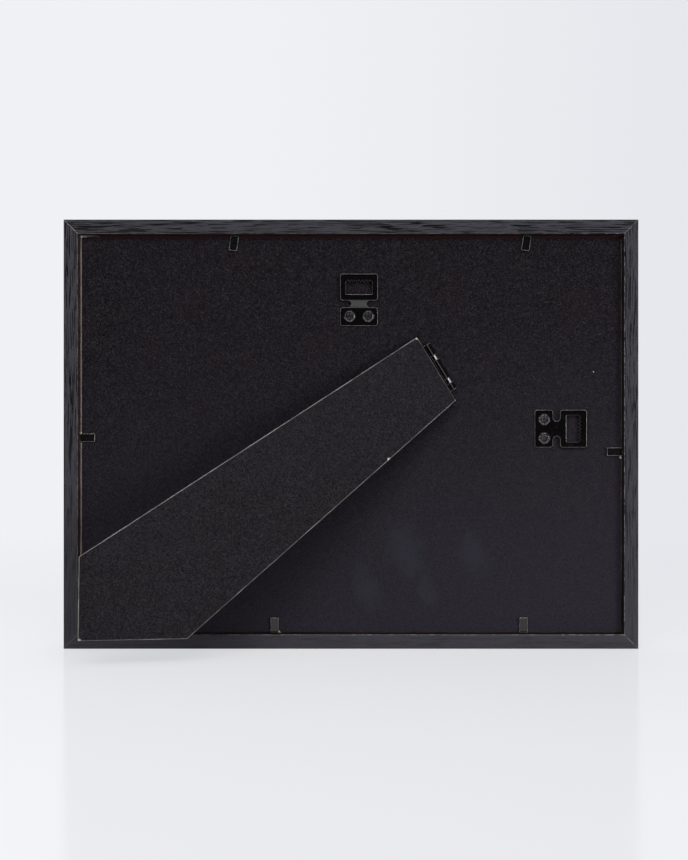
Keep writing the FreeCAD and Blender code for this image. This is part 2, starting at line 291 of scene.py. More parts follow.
# How far in from the outer sides of the frame, across and up
def inFromSides(tree, spot):
    x, y, z = tree.split(spot)
    return frameWidth / 2 - abs(x), frameHeight / 2 - abs(z - middleZ)


# Filler that shows along the mitres, most at the upper left
def mitreFiller(tree, spot):
    x, y, z = tree.split(spot)
    across, up = inFromSides(tree, spot)
    upperLeft = x.fall(-1, 1) * z.rise(middleZ - 1, middleZ + 1)
    seam = abs(across - up).fall(wood["mitreHalf"] / 2, wood["mitreHalf"])
    seam = seam * (0.3 + 0.7 * upperLeft + 0.25 * x.rise(0, 1))
    return seam * (0.35 + 0.65 * tree.noise(spot, 0.7).rise(*wood["fillerEdge"]))


# Where the stain is worn off the arrises, with a painted highlight along the bottom rail's arrises as well
def arrisWearAndHighlight(tree, spot):
    x, y, z = tree.split(spot)
    across, up = inFromSides(tree, spot)
    fromSide = across.atMost(up)
    inner = abs(fromSide - (panelLow.z - rail["rabbetClearance"])).fall(*wood["innerArris"])
    near, far = wood["arrisDepth"]
    arris = inner.atLeast(fromSide.fall(*wood["outerArris"]))
    arris = arris * y.fall(near - frameDepth / 2, far - frameDepth / 2)
    # painted highlight along the bottom rail's arrises, on top of wear
    atBottom = z.fall(*wood["bottomReach"]) * x.rise(*wood["bottomFrom"])
    more = wood["moreWearAndHighlight"] * (atBottom + x.rise(*wood["rightFrom"]) * inner)
    worn = tree.noise(spot, 0.35, 4.0, 0.6).rise(*wood["wearEdge"]) * (wood["wear"] + more)
    return arris * worn.atLeast(atBottom * wood["bottomWear"])


# Black stained open-pored wood. The grain runs along X on flat rails, along Z on upright ones.
def stainedWood(name, upright):
    material, tree, spot = newMaterial(name)
    x, y, z = tree.split(spot)
    along, across = (z, x) if upright else (x, z)
    around = across + y * wood["wrap"]
    stray = tree.grain(along, around, wood["strayOften"], detail=2.0) - 0.5
    stray = around + stray * wood["wander"] * 2
    streaks = tree.grain(along, stray, wood["streakOften"], 3.7, detail=1.3, roughness=0.4, distortion=0.1)
    pores = tree.grain(along, stray, wood["poreOften"], 8.1, detail=2.0, roughness=0.5)
    bands = tree.grain(along, stray, wood["bandOften"], detail=2.0).rise(*wood["bandEdge"])
    tone = tree.grain(along, stray, wood["toneOften"])
    fine = tree.grain(along, stray, wood["fineOften"])
    low = 0 if upright else middleZ - 1
    openness = z.rise(low, frameHeight * wood["fullGrainShare"])
    openness = wood["leastGrain"] + (1 - wood["leastGrain"]) * openness
    dark = streaks.rise(*wood["streakEdge"]) * (0.7 + 0.3 * bands)
    dark = dark.atLeast(pores.rise(*wood["poreEdge"]) * wood["poreShare"]) * openness
    colour = tree.mix(tone, wood["light"], wood["warm"])
    colour = tree.mix(fine.rise(*wood["fineEdge"]) * 0.3, colour, wood["dark"])
    colour = tree.mix(dark, colour, wood["dark"])
    colour = tree.mix(mitreFiller(tree, spot), colour, wood["mitreLine"])
    colour = tree.mix(arrisWearAndHighlight(tree, spot), colour, wood["arrisLine"])
    height = 1 - dark * 0.9 + fine * 0.12
    closeMaterial(tree, colour, 0.5 + dark * 0.25 + fine * 0.08, (height, 0.6, 0.16), specular=0.13)
    return material


bareWood = {
    "stain": shown(42, 26, 27),
    # darker on the right wall, as painted shade, and at the bottom
    "wallDarkening": shown(24, 19, 20),
    "bare": shown(96, 74, 66),
    "fibre": shown(24, 18, 18),
    "smear": 9.0,  # mm
    "smearEdge": (0.42, 0.75),
    "fibreEdge": (0.5, 0.9),
    "mostlyLeft": (-100, 60),
    "shadeRight": (80, 100),
    "darkerBelow": (15, 20),
}


# Rabbet walls, where the stain only reached in smears, darker on the right wall as painted shade, and
# darker at the bottom
def rabbetWood(name):
    material, tree, spot = newMaterial(name)
    x, y, z = tree.split(spot)
    run = tree.combine(x / bareWood["smear"], y * 0.5, z / bareWood["smear"])
    smear = tree.noise(run, 1.0, 4.0).rise(*bareWood["smearEdge"])
    smear = smear * (0.15 + 0.45 * x.fall(*bareWood["mostlyLeft"]))
    fibre = tree.noise(tree.combine(x * 0.9, y * 3, z * 0.9), 1.0, 4.0)
    # painted shade on the right wall; also darker at the bottom
    wallDarkening = x.rise(*bareWood["shadeRight"]).atLeast(z.fall(*bareWood["darkerBelow"]))
    stain = tree.mix(wallDarkening, bareWood["stain"], bareWood["wallDarkening"])
    colour = tree.mix(smear, stain, bareWood["bare"])
    colour = tree.mix(fibre.rise(*bareWood["fibreEdge"]) * 0.5, colour, bareWood["fibre"])
    closeMaterial(tree, colour, 0.75, (fibre, 0.6, 0.15), specular=0.2)
    return material


board = {
    "raw": shown(138, 126, 124),
    # raw board darkened red along the top: partly a stain, partly painted shade under the top rail
    "rawStainAndShade": shown(50, 26, 30),
    "chip": shown(228, 215, 198),
    "grit": shown(5, 4, 6),
    "thread": shown(66, 64, 68),
    # painted floor bounce: the lighter paper tone towards the bottom
    "paintedLight": shown(49, 46, 55),
    "rubbed": shown(57, 58, 68),
    "fibre": 0.62,  # mm
    "gritEdge": (0.46, 0.68),
    "coolEdge": (0.35, 0.7),
    "warmEdge": (0.5, 0.75),
    "threadHalf": 0.06,
    "fibreHalf": 0.05,
    "rubbedShare": 0.36,
    "rimSoftness": 0.3,  # mm
    "bareEdge": (0.3, 0.72),
    "smearEdge": (0.45, 0.8),
}


# Where knocks bared the board: a share from 0 to 1 round each (place, radius)
def knocks(tree, spot, places):
    ragged = tree.noise(spot, 1.4) - 0.5
    total = ragged * 0
    for place, radius in places:
        away = tree.distance(spot, place) + ragged * radius * 1.6
        total = total.atLeast(away.fall(radius * 0.6, radius))
    return total


# Soft mark rubbed on a slant, so longer one way
def smudge(tree, spot, place, radius):
    x, y, z = tree.split(tree.vector("SUBTRACT", spot, tuple(place)))
    slanted = tree.combine(x * 1.35 + z * 0.6, 0.0, z * 0.75 - x * 0.35)
    away = tree.vector("LENGTH", slanted) + (tree.noise(spot, 0.16) - 0.5) * radius * 1.2
    return away.fall(radius * 0.2, radius)


# Board faced with black paper in its three tones, with how strongly its grain shows. A board may have
# chips, smudges, a painted floor bounce that makes it lighter towards the bottom, and a rim that gives how
# far in the paper is worn off, how much of the raw board shows there and how much of that is darkened red,
# partly a stain and partly painted shade.
def facedBoard(name, tones, spread, chips, smudges=(), rim=None, fade=None):
    material, tree, spot = newMaterial(name)
    ground, cool, warm = tones
    grain = tree.noise(spot, 1 / board["fibre"], 3.0, 0.6, 0.5)
    fibres = abs(tree.noise(spot, 0.42, 2.0, 0.5, 1.9) - 0.5).fall(0.0, board["fibreHalf"])
    threads = abs(tree.noise(spot, 0.7, 1.0, 0.5, 1.4) - 0.52).fall(0.0, board["threadHalf"])
    colour = tree.mix(tree.noise(spot, 0.018, 3.0).rise(*board["coolEdge"]), ground, cool)
    colour = tree.mix(tree.noise(spot, 0.045, 2.0).rise(*board["warmEdge"]) * 0.8, colour, warm)
    # painted floor bounce: lighter paper towards the bottom, where the grain shows less
    if fade:
        paintedLight = fade(tree, spot)
        colour = tree.mix(paintedLight, colour, board["paintedLight"])
        spread = spread * (1 - paintedLight * 0.45)
    colour = tree.mix(grain.rise(*board["gritEdge"]) * spread, colour, board["grit"])
    colour = tree.mix((fibres + threads * 0.7) * spread * 0.6, colour, board["thread"])
    for place, radius in smudges:
        mark = smudge(tree, spot, place, radius)
        colour = tree.mix(mark * board["rubbedShare"], colour, board["rubbed"])
    if rim:
        away, amount, stained = rim(tree, spot)
        ragged = away + (tree.noise(spot, 0.8, 3.0) - 0.5) * 0.6
        # darkened red where the rim runs along the top: partly a stain, partly painted shade
        bare = tree.mix(stained, board["raw"], board["rawStainAndShade"])
        colour = tree.mix(ragged.fall(0.0, board["rimSoftness"]) * amount, colour, bare)
    colour = tree.mix(knocks(tree, spot, chips), colour, board["chip"])
    height = grain + (fibres + threads) * 0.3
    closeMaterial(tree, colour, 0.6 + grain * 0.16, (height, 0.5, 0.1), specular=0.025)
    return material


# Bare fibreboard on the cut edges, smeared with the black of the paper
def cutEdge(name, light, dark, chips, amount):
    material, tree, spot = newMaterial(name)
    fibre = tree.noise(spot, 1.6, 4.0, 0.65)
    bare = 0.3 + 0.7 * tree.noise(spot, 0.11, 3.0).rise(*board["bareEdge"])
    colour = tree.mix(bare * amount(tree, spot), dark, light)
    colour = tree.mix(fibre.rise(*board["smearEdge"]) * 0.55, colour, dark)
    colour = tree.mix(knocks(tree, spot, chips), colour, board["chip"])
    closeMaterial(tree, colour, 0.85, (fibre, 0.7, 0.12), specular=0.15)
    return material


enamel = {
    "face": shown(4, 3, 4),
    "dust": shown(40, 38, 40),
    "peel": 0.9,
    "dustEdge": (0.66, 0.8),
    "rubEdge": (0.58, 0.75),
    "edgeRub": (0.35, 0.7),
}


# Gloss black enamel with a slight orange peel, dust and a few rubbed places
def blackEnamel(name):
    material, tree, spot = newMaterial(name)
    peel = tree.noise(spot, enamel["peel"], 2.0)
    dust = tree.noise(spot, 5.5, 2.0).rise(*enamel["dustEdge"])
    rub = tree.noise(spot, 0.45, 4.0, 0.6).rise(*enamel["rubEdge"])
    colour = tree.mix(dust * 0.25 + rub * 0.1, enamel["face"], enamel["dust"])
    closeMaterial(tree, colour, 0.07 + rub * 0.12 + dust * 0.1, (peel, 0.2, 0.1), specular=0.7)
    return material


# Rounded edges of the stamped sheet, lighter than the face: the coat is thin over the steel there, and the
# light grey is partly a painted highlight
def wornEdgeAndHighlight(name, level):
    material, tree, spot = newMaterial(name)
    wear = tree.noise(spot, 0.8, 3.0, 0.6)
    coat, steel = shown(level, level, level), shown(level * 1.9, level * 1.8, level * 1.75)
    colour = tree.mix(wear.rise(*enamel["edgeRub"]), coat, steel)
    closeMaterial(tree, colour, 0.24 + wear * 0.12, (wear, 0.2, 0.05), metallic=0.1 + wear * 0.3)
    return material


# Light and dark of each piece's mottle
steels = {
    "rivet": (shown(104, 101, 104), shown(56, 53, 56)),
    "tab": (shown(8, 8, 9), shown(3, 3, 4)),
    "nail": (shown(170, 170, 172), shown(110, 110, 114)),
    "root": (shown(60, 60, 62), shown(22, 22, 24)),
    "fleck": shown(150, 148, 150),
    "mottleEdge": (0.3, 0.7),
    "fleckEdge": (0.62, 0.78),
}


# Dark coated steel, mottled where the coat cracked as the piece was set
def mottledSteel(name, light, dark, metallic, roughness, relief=0.35):
    material, tree, spot = newMaterial(name)
    mottle = tree.noise(spot, 1.5, 4.0, 0.65)
    fleck = tree.noise(spot, 5.0, 2.0).rise(*steels["fleckEdge"])
    colour = tree.mix(mottle.rise(*steels["mottleEdge"]), dark, light)
    colour = tree.mix(fleck * 0.25, colour, steels["fleck"])
    roughness = roughness + mottle * 0.12
    closeMaterial(tree, colour, roughness, (mottle, relief, 0.05), metallic=metallic, specular=0.65)
    return material


bareSteel = {"light": shown(238, 238, 240), "dark": shown(214, 214, 220), "drawn": (3.0, 3.0, 0.6)}


# Bare bright steel with fine drawing lines
def brightSteel(name):
    material, tree, spot = newMaterial(name)
    lines = tree.noise(tree.vector("MULTIPLY", spot, bareSteel["drawn"]), 2.0, 2.0)
    colour = tree.mix(tree.noise(spot, 0.8, 2.0), bareSteel["light"], bareSteel["dark"])
    closeMaterial(tree, colour, 0.22 + lines * 0.16, (lines, 0.15, 0.02), metallic=1.0)
    return material


pane = {
    "light": (0.98, 0.992, 0.986, 1.0),
    "green": (0.97, 0.99, 0.98, 1.0),
    "through": (0.97, 0.98, 0.975, 1.0),
    "bending": 1.5,
}


# Clear to light and shadow rays as well, so that the sheets behind it are lit
def clearGlass(name):
    material, tree, spot = newMaterial(name)
    glass = tree.node("ShaderNodeBsdfPrincipled", {}, {
        "Base Color": tree.mix(tree.noise(spot, 0.01, 1.0), pane["green"], pane["light"]),
        "Roughness": 0.0,
        "IOR": pane["bending"],
        "Transmission Weight": 1.0,
    })
    rays = tree.node("ShaderNodeLightPath")
    through = tree.node("ShaderNodeBsdfTransparent", {}, {"Color": pane["through"]})
    share = rays.out("Is Shadow Ray").atLeast(rays.out("Is Diffuse Ray"))
    surface = tree.node("ShaderNodeMixShader", {}, {0: share, 1: glass, 2: through})
    tree.node("ShaderNodeOutputMaterial", {}, {"Surface": surface})
    return material


card = {
    "face": shown(236, 232, 222),
    "shade": shown(228, 223, 212),
    "core": shown(250, 249, 246),
    "texture": 0.35,  # mm
    "slopeEdge": (0.03, 0.01),  # mm behind the face
}


# Mount board: textured face, and a white core that shows on the sloped edge of the window
def mountCard(name):
    material, tree, spot = newMaterial(name)
    y = tree.split(spot)[1]
    face = boxInMm("mat_board")[1].y
    deep, near = card["slopeEdge"]
    texture = tree.noise(spot, 1 / card["texture"], 4.0, 0.6)
    colour = tree.mix(texture, card["face"], card["shade"])
    colour = tree.mix(y.fall(face - deep, face - near), colour, card["core"])
    closeMaterial(tree, colour, 0.86, (texture, 0.5, 0.06), specular=0.25)
    return material


blank = {
    "light": shown(222, 221, 216),
    "shade": shown(212, 212, 208),
    "pulp": shown(190, 189, 184),
    "pulpEdge": (0.5, 0.8),
}


# Plain blank sheet behind the window
def blankPaper(name):
    material, tree, spot = newMaterial(name)
    pulp = tree.noise(spot, 0.9, 5.0, 0.65)
    colour = tree.mix(tree.noise(spot, 0.05, 2.0), blank["shade"], blank["light"])
    colour = tree.mix(pulp.rise(*blank["pulpEdge"]) * 0.2, colour, blank["pulp"])
    closeMaterial(tree, colour, 0.8, (pulp, 0.2, 0.04), specular=0.3)
    return material


print("node helpers ready")

# Mesh helpers


def linked(name, mesh):
    piece = bpy.data.objects.new(name, mesh)
    scene.collection.objects.link(piece)
    return piece


def evaluatedMesh(piece):
    bpy.context.view_layer.update()
    graph = bpy.context.evaluated_depsgraph_get()
    return bpy.data.meshes.new_from_object(piece.evaluated_get(graph))


def startShape(name, numbers, materials, counts=()):
    group = bpy.data.node_groups.new(name, "GeometryNodeTree")
    kinds = {"Float": numbers, "Int": counts, "Material": materials}
    for kind, labels in kinds.items():
        for label in labels:
            group.interface.new_socket(label, in_out="INPUT", socket_type="NodeSocket" + kind)
    group.interface.new_socket("Geometry", in_out="OUTPUT", socket_type="NodeSocketGeometry")
    tree = Tree(group)
    given = tree.node("NodeGroupInput")
    return tree, {label: given.out(label) for label in (*numbers, *counts, *materials)}


def endShape(tree, geometry, material):
    solid = tree.shape("RealizeInstances", {"Geometry": geometry})
    return tree.shape("SetMaterial", {"Geometry": solid, "Material": material})


# Sizes under the names of a tree's inputs, so that looseTurn gives Loose Turn
def asInputs(sizes, **others):
    named = {re.sub("([A-Z])", r" \1", name).title(): value for name, value in sizes.items()}
    return {**named, **others}


# Runs a tree with its inputs, rounds the edges if asked, and keeps the plain mesh
def runShape(name, tree, values, placement, *rounding):
    piece = linked(name, bpy.data.meshes.new(name))
    modifier = piece.modifiers.new(name, "NODES")
    modifier.node_group = tree.group
    for item in tree.group.interface.items_tree:
        if item.item_type == "SOCKET" and item.in_out == "INPUT":
            modifier[item.identifier] = values[item.name]
    if rounding:
        roundEdges(piece, *rounding)
    mesh = evaluatedMesh(piece)
    piece.modifiers.clear()
    piece.data = mesh
    mesh.transform(placement @ toMetres)
    return piece


def roundEdges(piece, width, segments, angle):
    bevel = piece.modifiers.new("rounding", "BEVEL")
    bevel.width = width
    bevel.segments = segments
    bevel.limit_method = "ANGLE"
    bevel.angle_limit = math.radians(angle)
    bevel.harden_normals = True


def settle(piece, body, node):
    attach(piece, body)
    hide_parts(node)


# Outline through (x, y, radius) corners, anticlockwise, with arcs at the radii
def roundedLoop(corners, steps=6):
    points = []
    for index, (x, y, radius) in enumerate(corners):
        here = Vector((x, y))
        before = (Vector(corners[index - 1][:2]) - here).normalized()
        after = (Vector(corners[(index + 1) % len(corners)][:2]) - here).normalized()
        if radius == 0:
            points.append(here)
            continue
        half = before.angle(after) / 2
        middle = here + (before + after).normalized() * (radius / math.sin(half))
        start = here + before * (radius / math.tan(half)) - middle
        end = here + after * (radius / math.tan(half)) - middle
        turn = start.angle_signed(end)
        for step in range(steps + 1):
            arm = start.copy()
            arm.rotate(Matrix.Rotation(-turn * step / steps, 2))
            points.append(middle + arm)
    return points


# Sheet metal cut to its loops, with rounded edges in a second material
def stampedSheet(name, loops, thickness, edgeRadius, face, edge):
    curve = bpy.data.curves.new(name, "CURVE")
    curve.dimensions = "2D"
    curve.fill_mode = "BOTH"
    curve.extrude = thickness / 2 - edgeRadius
    curve.bevel_depth = edgeRadius
    curve.bevel_resolution = 2
    curve.offset = -edgeRadius
    for loop in loops:
        spline = curve.splines.new("POLY")
        spline.points.add(len(loop) - 1)
        for point, place in zip(spline.points, loop):
            point.co = (place.x, place.y, 0.0, 1.0)
        spline.use_cyclic_u = True
    holder = linked(name + "_outline", curve)
    mesh = evaluatedMesh(holder)
    bpy.data.objects.remove(holder)
    mesh.name = name
    mesh.materials.clear()
    mesh.materials.append(face)
    mesh.materials.append(edge)
    shape = bmesh.new()
    shape.from_mesh(mesh)
    bmesh.ops.remove_doubles(shape, verts=shape.verts, dist=edgeRadius / 50)
    bmesh.ops.translate(shape, verts=shape.verts, vec=(0, 0, thickness / 2))
    bmesh.ops.recalc_face_normals(shape, faces=shape.faces)
    for polygon in shape.faces:
        polygon.smooth = False
        polygon.material_index = 0 if abs(polygon.normal.z) > 0.985 else 1
    shape.to_mesh(mesh)
    shape.free()
    return mesh


def cutAcross(shape, place, normal):
    every = shape.verts[:] + shape.edges[:] + shape.faces[:]
    bmesh.ops.bisect_plane(shape, geom=every, plane_co=place, plane_no=normal)


# Rails


# Section of a rail: its corners as a ring of points, each rounded by its own radius
def railProfile(tree, given):
    back, front = given["Depth"] / 2, given["Depth"] / -2
    wall, reach, glass = given["Wall"] * -1, given["Reach"] * -1, given["Glass"] * -1
    outline = [
        (back, 0.0, given["Rounding"]),
        (front, 0.0, given["Rounding"]),
        (front, reach, given["Rounding"]),
        (glass, reach, given["Rounding"]),
        (glass, wall, 0.0),
        (back, wall, given["Inner Rounding"]),
    ]
    ring = tree.shape("MeshCircle", {"Vertices": len(outline)})
    corner = tree.group.nodes.new("GeometryNodeIndexSwitch")
    corner.data_type = "VECTOR"
    for extra in range(len(outline) - 2):
        corner.index_switch_items.new()
    tree.group.links.new(tree.shape("InputIndex").socket, corner.inputs["Index"])
    for number, values in enumerate(outline):
        tree.group.links.new(tree.combine(*values).socket, corner.inputs[number + 1])
    across, down, radius = tree.split(Field(tree, corner.outputs[0]))
    kept = {"Geometry": ring, "Name": "cornerRadius", "Value": radius}
    kept = tree.shape("StoreNamedAttribute", kept, {"data_type": "FLOAT", "domain": "POINT"})
    profile = tree.shape("MeshToCurve", {"Mesh": tree.moved(kept, across, down, 0.0)})
    radii = tree.shape("InputNamedAttribute", {"Name": "cornerRadius"}, {"data_type": "FLOAT"})
    return tree.rounded(profile, rail["arcSteps"], radii)


# A rail mitred at both ends, with bare wood on its rabbet wall
def railTree():
    numbers = ("Length", "Depth", "Wall", "Reach", "Glass", "Rounding", "Inner Rounding")
    tree, given = startShape("mitredRail", numbers, ("Stained", "Bare"))
    half = given["Length"] / 2
    line = {"Start": tree.combine(half * -1, 0.0, 0.0), "End": tree.combine(half, 0.0, 0.0)}
    line = tree.shape("CurvePrimitiveLine", line)
    bar = {"Curve": line, "Profile Curve": railProfile(tree, given), "Fill Caps": True}
    # Each point is drawn in by its height above the outer side, which makes the mitres
    x, y, z = tree.split(tree.shape("InputPosition"))
    bar = tree.moved(tree.shape("CurveToMesh", bar), x * (1 - z / half), y, z)
    dressed = endShape(tree, bar, given["Stained"])
    upward = tree.split(tree.shape("InputNormal"))[2].rise(0.9, 0.95)
    atWall = abs(z - given["Wall"]).fall(*rail["wallReach"])
    bare = {"Geometry": dressed, "Selection": tree.above(upward * atWall, 0.5), "Material": given["Bare"]}
    tree.node("NodeGroupOutput", {}, {"Geometry": tree.shape("SetMaterial", bare)})
    return tree


def makeRails():
    flatWood = stainedWood("stained_wood_flat", False)
    uprightWood = stainedWood("stained_wood_upright", True)
    bare = rabbetWood("rabbet_wood")
    tree = railTree()
    lipLow = boxInMm("bottom_rail")[1].z
    wall = panelLow.z - rail["rabbetClearance"]
    values = {
        "Depth": frameDepth, "Wall": wall, "Reach": lipLow, "Glass": glassFront,
        "Rounding": rail["rounding"], "Inner Rounding": rail["innerRounding"], "Bare": bare,
    }
    places = {
        "bottom_rail": (frameWidth, flatWood, 0, (0, 0, 0)),
        "top_rail": (frameWidth, flatWood, 180, (0, 0, frameHeight * mm)),
        "left_rail": (frameHeight, uprightWood, 90, (-frameWidth / 2 * mm, 0, middleZ * mm)),
        "right_rail": (frameHeight, uprightWood, -90, (frameWidth / 2 * mm, 0, middleZ * mm)),
    }
    for node, (length, stained, turn, place) in places.items():
        placement = Matrix.Translation(place) @ Matrix.Rotation(math.radians(turn), 4, "Y")
        given = dict(values, Length=length, Stained=stained)
        piece = runShape(node + "_dressed", tree, given, placement)
        settle(piece, "frame", node)


makeRails()
print("rails made")

# Back panel and strut: board faced with black paper on both sides, bare where it is cut

boards = {
    "panelTones": (shown(20, 17, 20), shown(21, 19, 25), shown(28, 18, 21)),  # ground, cool, warm
    "panelEdge": (shown(190, 174, 163), shown(54, 44, 42)),  # bare board, smear
    "panelSpread": 0.75,  # how strongly the grain of the paper shows
    "strutTones": (shown(32, 30, 33), shown(34, 32, 37), shown(34, 30, 32)),
    "strutEdge": (shown(160, 156, 154), shown(48, 46, 46)),
    "strutSpread": 0.8,
    "growth": 0.35,  # mm that the panel grows into its clearance
    "weld": 0.002,  # mm
    "pieceLength": 3.0,  # mm between the points of a cut edge
    "waver": 0.09,  # mm
    "longWaves": 0.21,  # per mm
    "shortWaves": 1.3,
}


# Copy of a CAD board whose cut edges waver a little. The faces along the normal keep the paper.
def paperedBoard(name, node, normal, paper, edge, crushed=(), growth=0.0):
    shape = bmesh.new()
    shape.from_mesh(cad[node].data)
    shape.transform(Matrix.Scale(1 / mm, 4))
    bmesh.ops.remove_doubles(shape, verts=shape.verts, dist=boards["weld"])
    bmesh.ops.dissolve_limit(shape, angle_limit=math.radians(1), verts=shape.verts, edges=shape.edges)
    middle = sum((point.co for point in shape.verts), Vector()) / len(shape.verts)
    longEdges = [line for line in shape.edges if line.calc_length() > boards["pieceLength"] * 4]
    for line in longEdges:
        cuts = int(line.calc_length() / boards["pieceLength"])
        bmesh.ops.subdivide_edges(shape, edges=[line], cuts=cuts)
    for point in shape.verts:
        if all(abs(polygon.normal.dot(normal)) >= 0.9 for polygon in point.link_faces):
            continue
        push = noise.noise_vector(point.co * boards["longWaves"]) * boards["waver"]
        push += noise.noise_vector(point.co * boards["shortWaves"]) * boards["waver"] / 2
        for place, reach, depth in crushed:
            near = 1 - (point.co - place).length / reach
            if near > 0:
                push += (middle - point.co).normalized() * depth * near
        for axis in (0, 2):
            push[axis] += math.copysign(growth, point.co[axis] - middle[axis])
        push -= normal * push.dot(normal)
        point.co += push
    for polygon in shape.faces:
        polygon.material_index = 0 if abs(polygon.normal.dot(normal)) > 0.95 else 1
        polygon.smooth = False
    mesh = bpy.data.meshes.new(name)
    shape.to_mesh(mesh)
    shape.free()
    mesh.materials.append(paper)
    mesh.materials.append(edge)
    mesh.transform(toMetres)
    return linked(name, mesh)


outward = Vector((0, -1, 0))

panelMarks = {
    # Places as shares of the panel's width and height, each with a radius in mm
    "chips": [((0.0, 0.999), 1.5), ((0.0, 0.504), 0.9), ((0.999, 0.442), 1.0), ((0.368, 0.0), 0.9),
              ((0.948, 0.657), 0.35)],
    "smudges": [((0.602, 0.208), 20.0), ((0.528, 0.112), 14.5), ((0.724, 0.195), 16.0),
                ((0.64, 0.1), 10.0)],
    # The raw rim, in mm
    "wornRim": 0.6,
    "leftMore": 0.45,
    "topMore": 0.9,
    "sideReach": (3, 5),
    "topReach": (2, 3),
    "topFrom": (8, 11),  # from the left side
    "cornerReach": (4, 12),
    "rightFrom": (20, 50),  # up from the floor
    "rightWear": 0.3,
    "bottomFrom": (-20, 20),  # from the middle
    "bottomWear": 0.1,
}


def onPanel(share):
    size = panelHigh - panelLow
    return Vector((panelLow.x + share[0] * size.x, panelBack, panelLow.z + share[1] * size.z))


def onLeft(x):
    near, far = panelMarks["sideReach"]
    return x.fall(panelLow.x + near, panelLow.x + far)


# How much of the board's raw edge shows: all of it on the left, less on the right and at the bottom
def rimWear(tree, spot):
    x, y, z = tree.split(spot)
    near, far = panelMarks["sideReach"]
    left = onLeft(x)
    right = x.rise(panelHigh.x - far, panelHigh.x - near) * z.rise(*panelMarks["rightFrom"])
    bottom = z.fall(panelLow.z + near, panelLow.z + far) * x.rise(*panelMarks["bottomFrom"])
    corner = tree.distance(spot, onPanel((0, 1))).fall(*panelMarks["cornerReach"])
    rest = (right * panelMarks["rightWear"]).atLeast(bottom * panelMarks["bottomWear"]).atLeast(corner)
    return left + (1 - left) * rest


def panelRim(tree, spot):
    x, y, z = tree.split(spot)
    size = panelHigh - panelLow
    across = size.x / 2 - abs(x - (panelLow.x + size.x / 2))
    up = size.z / 2 - abs(z - (panelLow.z + size.z / 2))
    inFromRim = across.atMost(up) + boards["growth"]
    near, far = panelMarks["topReach"]
    start, end = panelMarks["topFrom"]
    # along the top the raw rim is wider and darkened red: partly a stain, partly painted shade under the
    # top rail
    alongTop = z.rise(panelHigh.z - far, panelHigh.z - near) * x.rise(panelLow.x + start, panelLow.x + end)
    worn = panelMarks["wornRim"] + alongTop * panelMarks["topMore"] + onLeft(x) * panelMarks["leftMore"]
    return inFromRim - worn, rimWear(tree, spot).atLeast(alongTop), alongTop


# Painted floor bounce: the paper made lighter towards the bottom, most at the lower right
def paintedFloorLight(tree, spot):
    x, y, z = tree.split(spot)
    across = (x - panelLow.x) / (panelHigh.x - panelLow.x)
    down = (panelHigh.z - z) / (panelHigh.z - panelLow.z)
    return (down * 0.75 + (across - 0.3) * down * 0.4).rise(0.0, 0.95) * 0.9


def makePanel():
    chips = [(onPanel(share), radius) for share, radius in panelMarks["chips"]]
    smudges = [(onPanel(share), radius) for share, radius in panelMarks["smudges"]]
    paper = facedBoard("panel_paper", boards["panelTones"], boards["panelSpread"], chips, smudges,
                       panelRim, paintedFloorLight)
    edge = cutEdge("panel_edge", *boards["panelEdge"], chips, rimWear)
    growth = boards["growth"]
    panel = paperedBoard("back_panel_dressed", "back_panel", outward, paper, edge, growth=growth)
    settle(panel, "frame", "back_panel")


makePanel()
print("panel made")

# Hinge. In its own millimetres X runs to the foot, Y down the hinge line and Z out of the back.

swing = joints["strut_swing"]
restAngle = math.radians(-swing["range_deg"][0])


# Placement with Z out of the back and Y along the given direction
def onBack(origin, along):
    across = along.cross(outward)
    turn = Matrix((across, along, outward)).transposed().to_4x4()
    return Matrix.Translation(origin) @ turn


hingePlace = onBack(Vector(swing["pos_m"]), -Vector(swing["axis"]))
strutPlace = hingePlace @ Matrix.Rotation(-restAngle, 4, "Y")

hinge = {
    "barrelRadius": 1.5,
    "pinRadius": 0.75,
    "sheet": 0.7,
    "edgeRadius": 0.13,
    "rollEdge": 0.2,
    "offset": 0.3,  # middle of the barrel along the hinge line
    "knuckles": (7.0, 11.9, 4.2),
    "gap": 2.8,
    "near": 1.9,  # where the flat of a leaf starts
    "reach": 19.0,
    "corner": 2.5,
    "panelLeafLow": -1.7,
    "strutLeafLow": -0.9,
    "prongWidth": 1.6,
    "prongDepth": 1.7,
    "prongs": ((6.5, -9.0), (6.5, 9.0), (15.5, -9.0), (15.5, 9.0)),
    "headRadius": 1.1,
    "headThickness": 0.4,
    "turnSteps": 40,
    "rollOut": 0.03,  # from midway between the pin and the barrel
    "lowTurn": (-90, 292),  # degrees where the curl of a low leaf starts, and how far it runs
    "highTurn": (-58, 312),
    "endShare": 0.6,  # of the sheet, where a knuckle's end is rounded off
    "nearRound": 0.3,
    "cornerRound": 0.5,
    "headShares": ((0, 1), (0.55, 1), (0.86, 0.82), (1, 0.45), (1, 0.05)),  # of radius and thickness
    "headRound": 0.03,
    "shaftStart": 0.1,
}


# Ends of the barrel along the hinge line
def barrelEnds():
    half = sum(hinge["knuckles"]) / 2 + hinge["gap"]
    return hinge["offset"] - half, hinge["offset"] + half


def knuckleSpans():
    start = barrelEnds()[0]
    spans = []
    for length in hinge["knuckles"]:
        spans.append((start, length))
        start += length + hinge["gap"]
    return spans


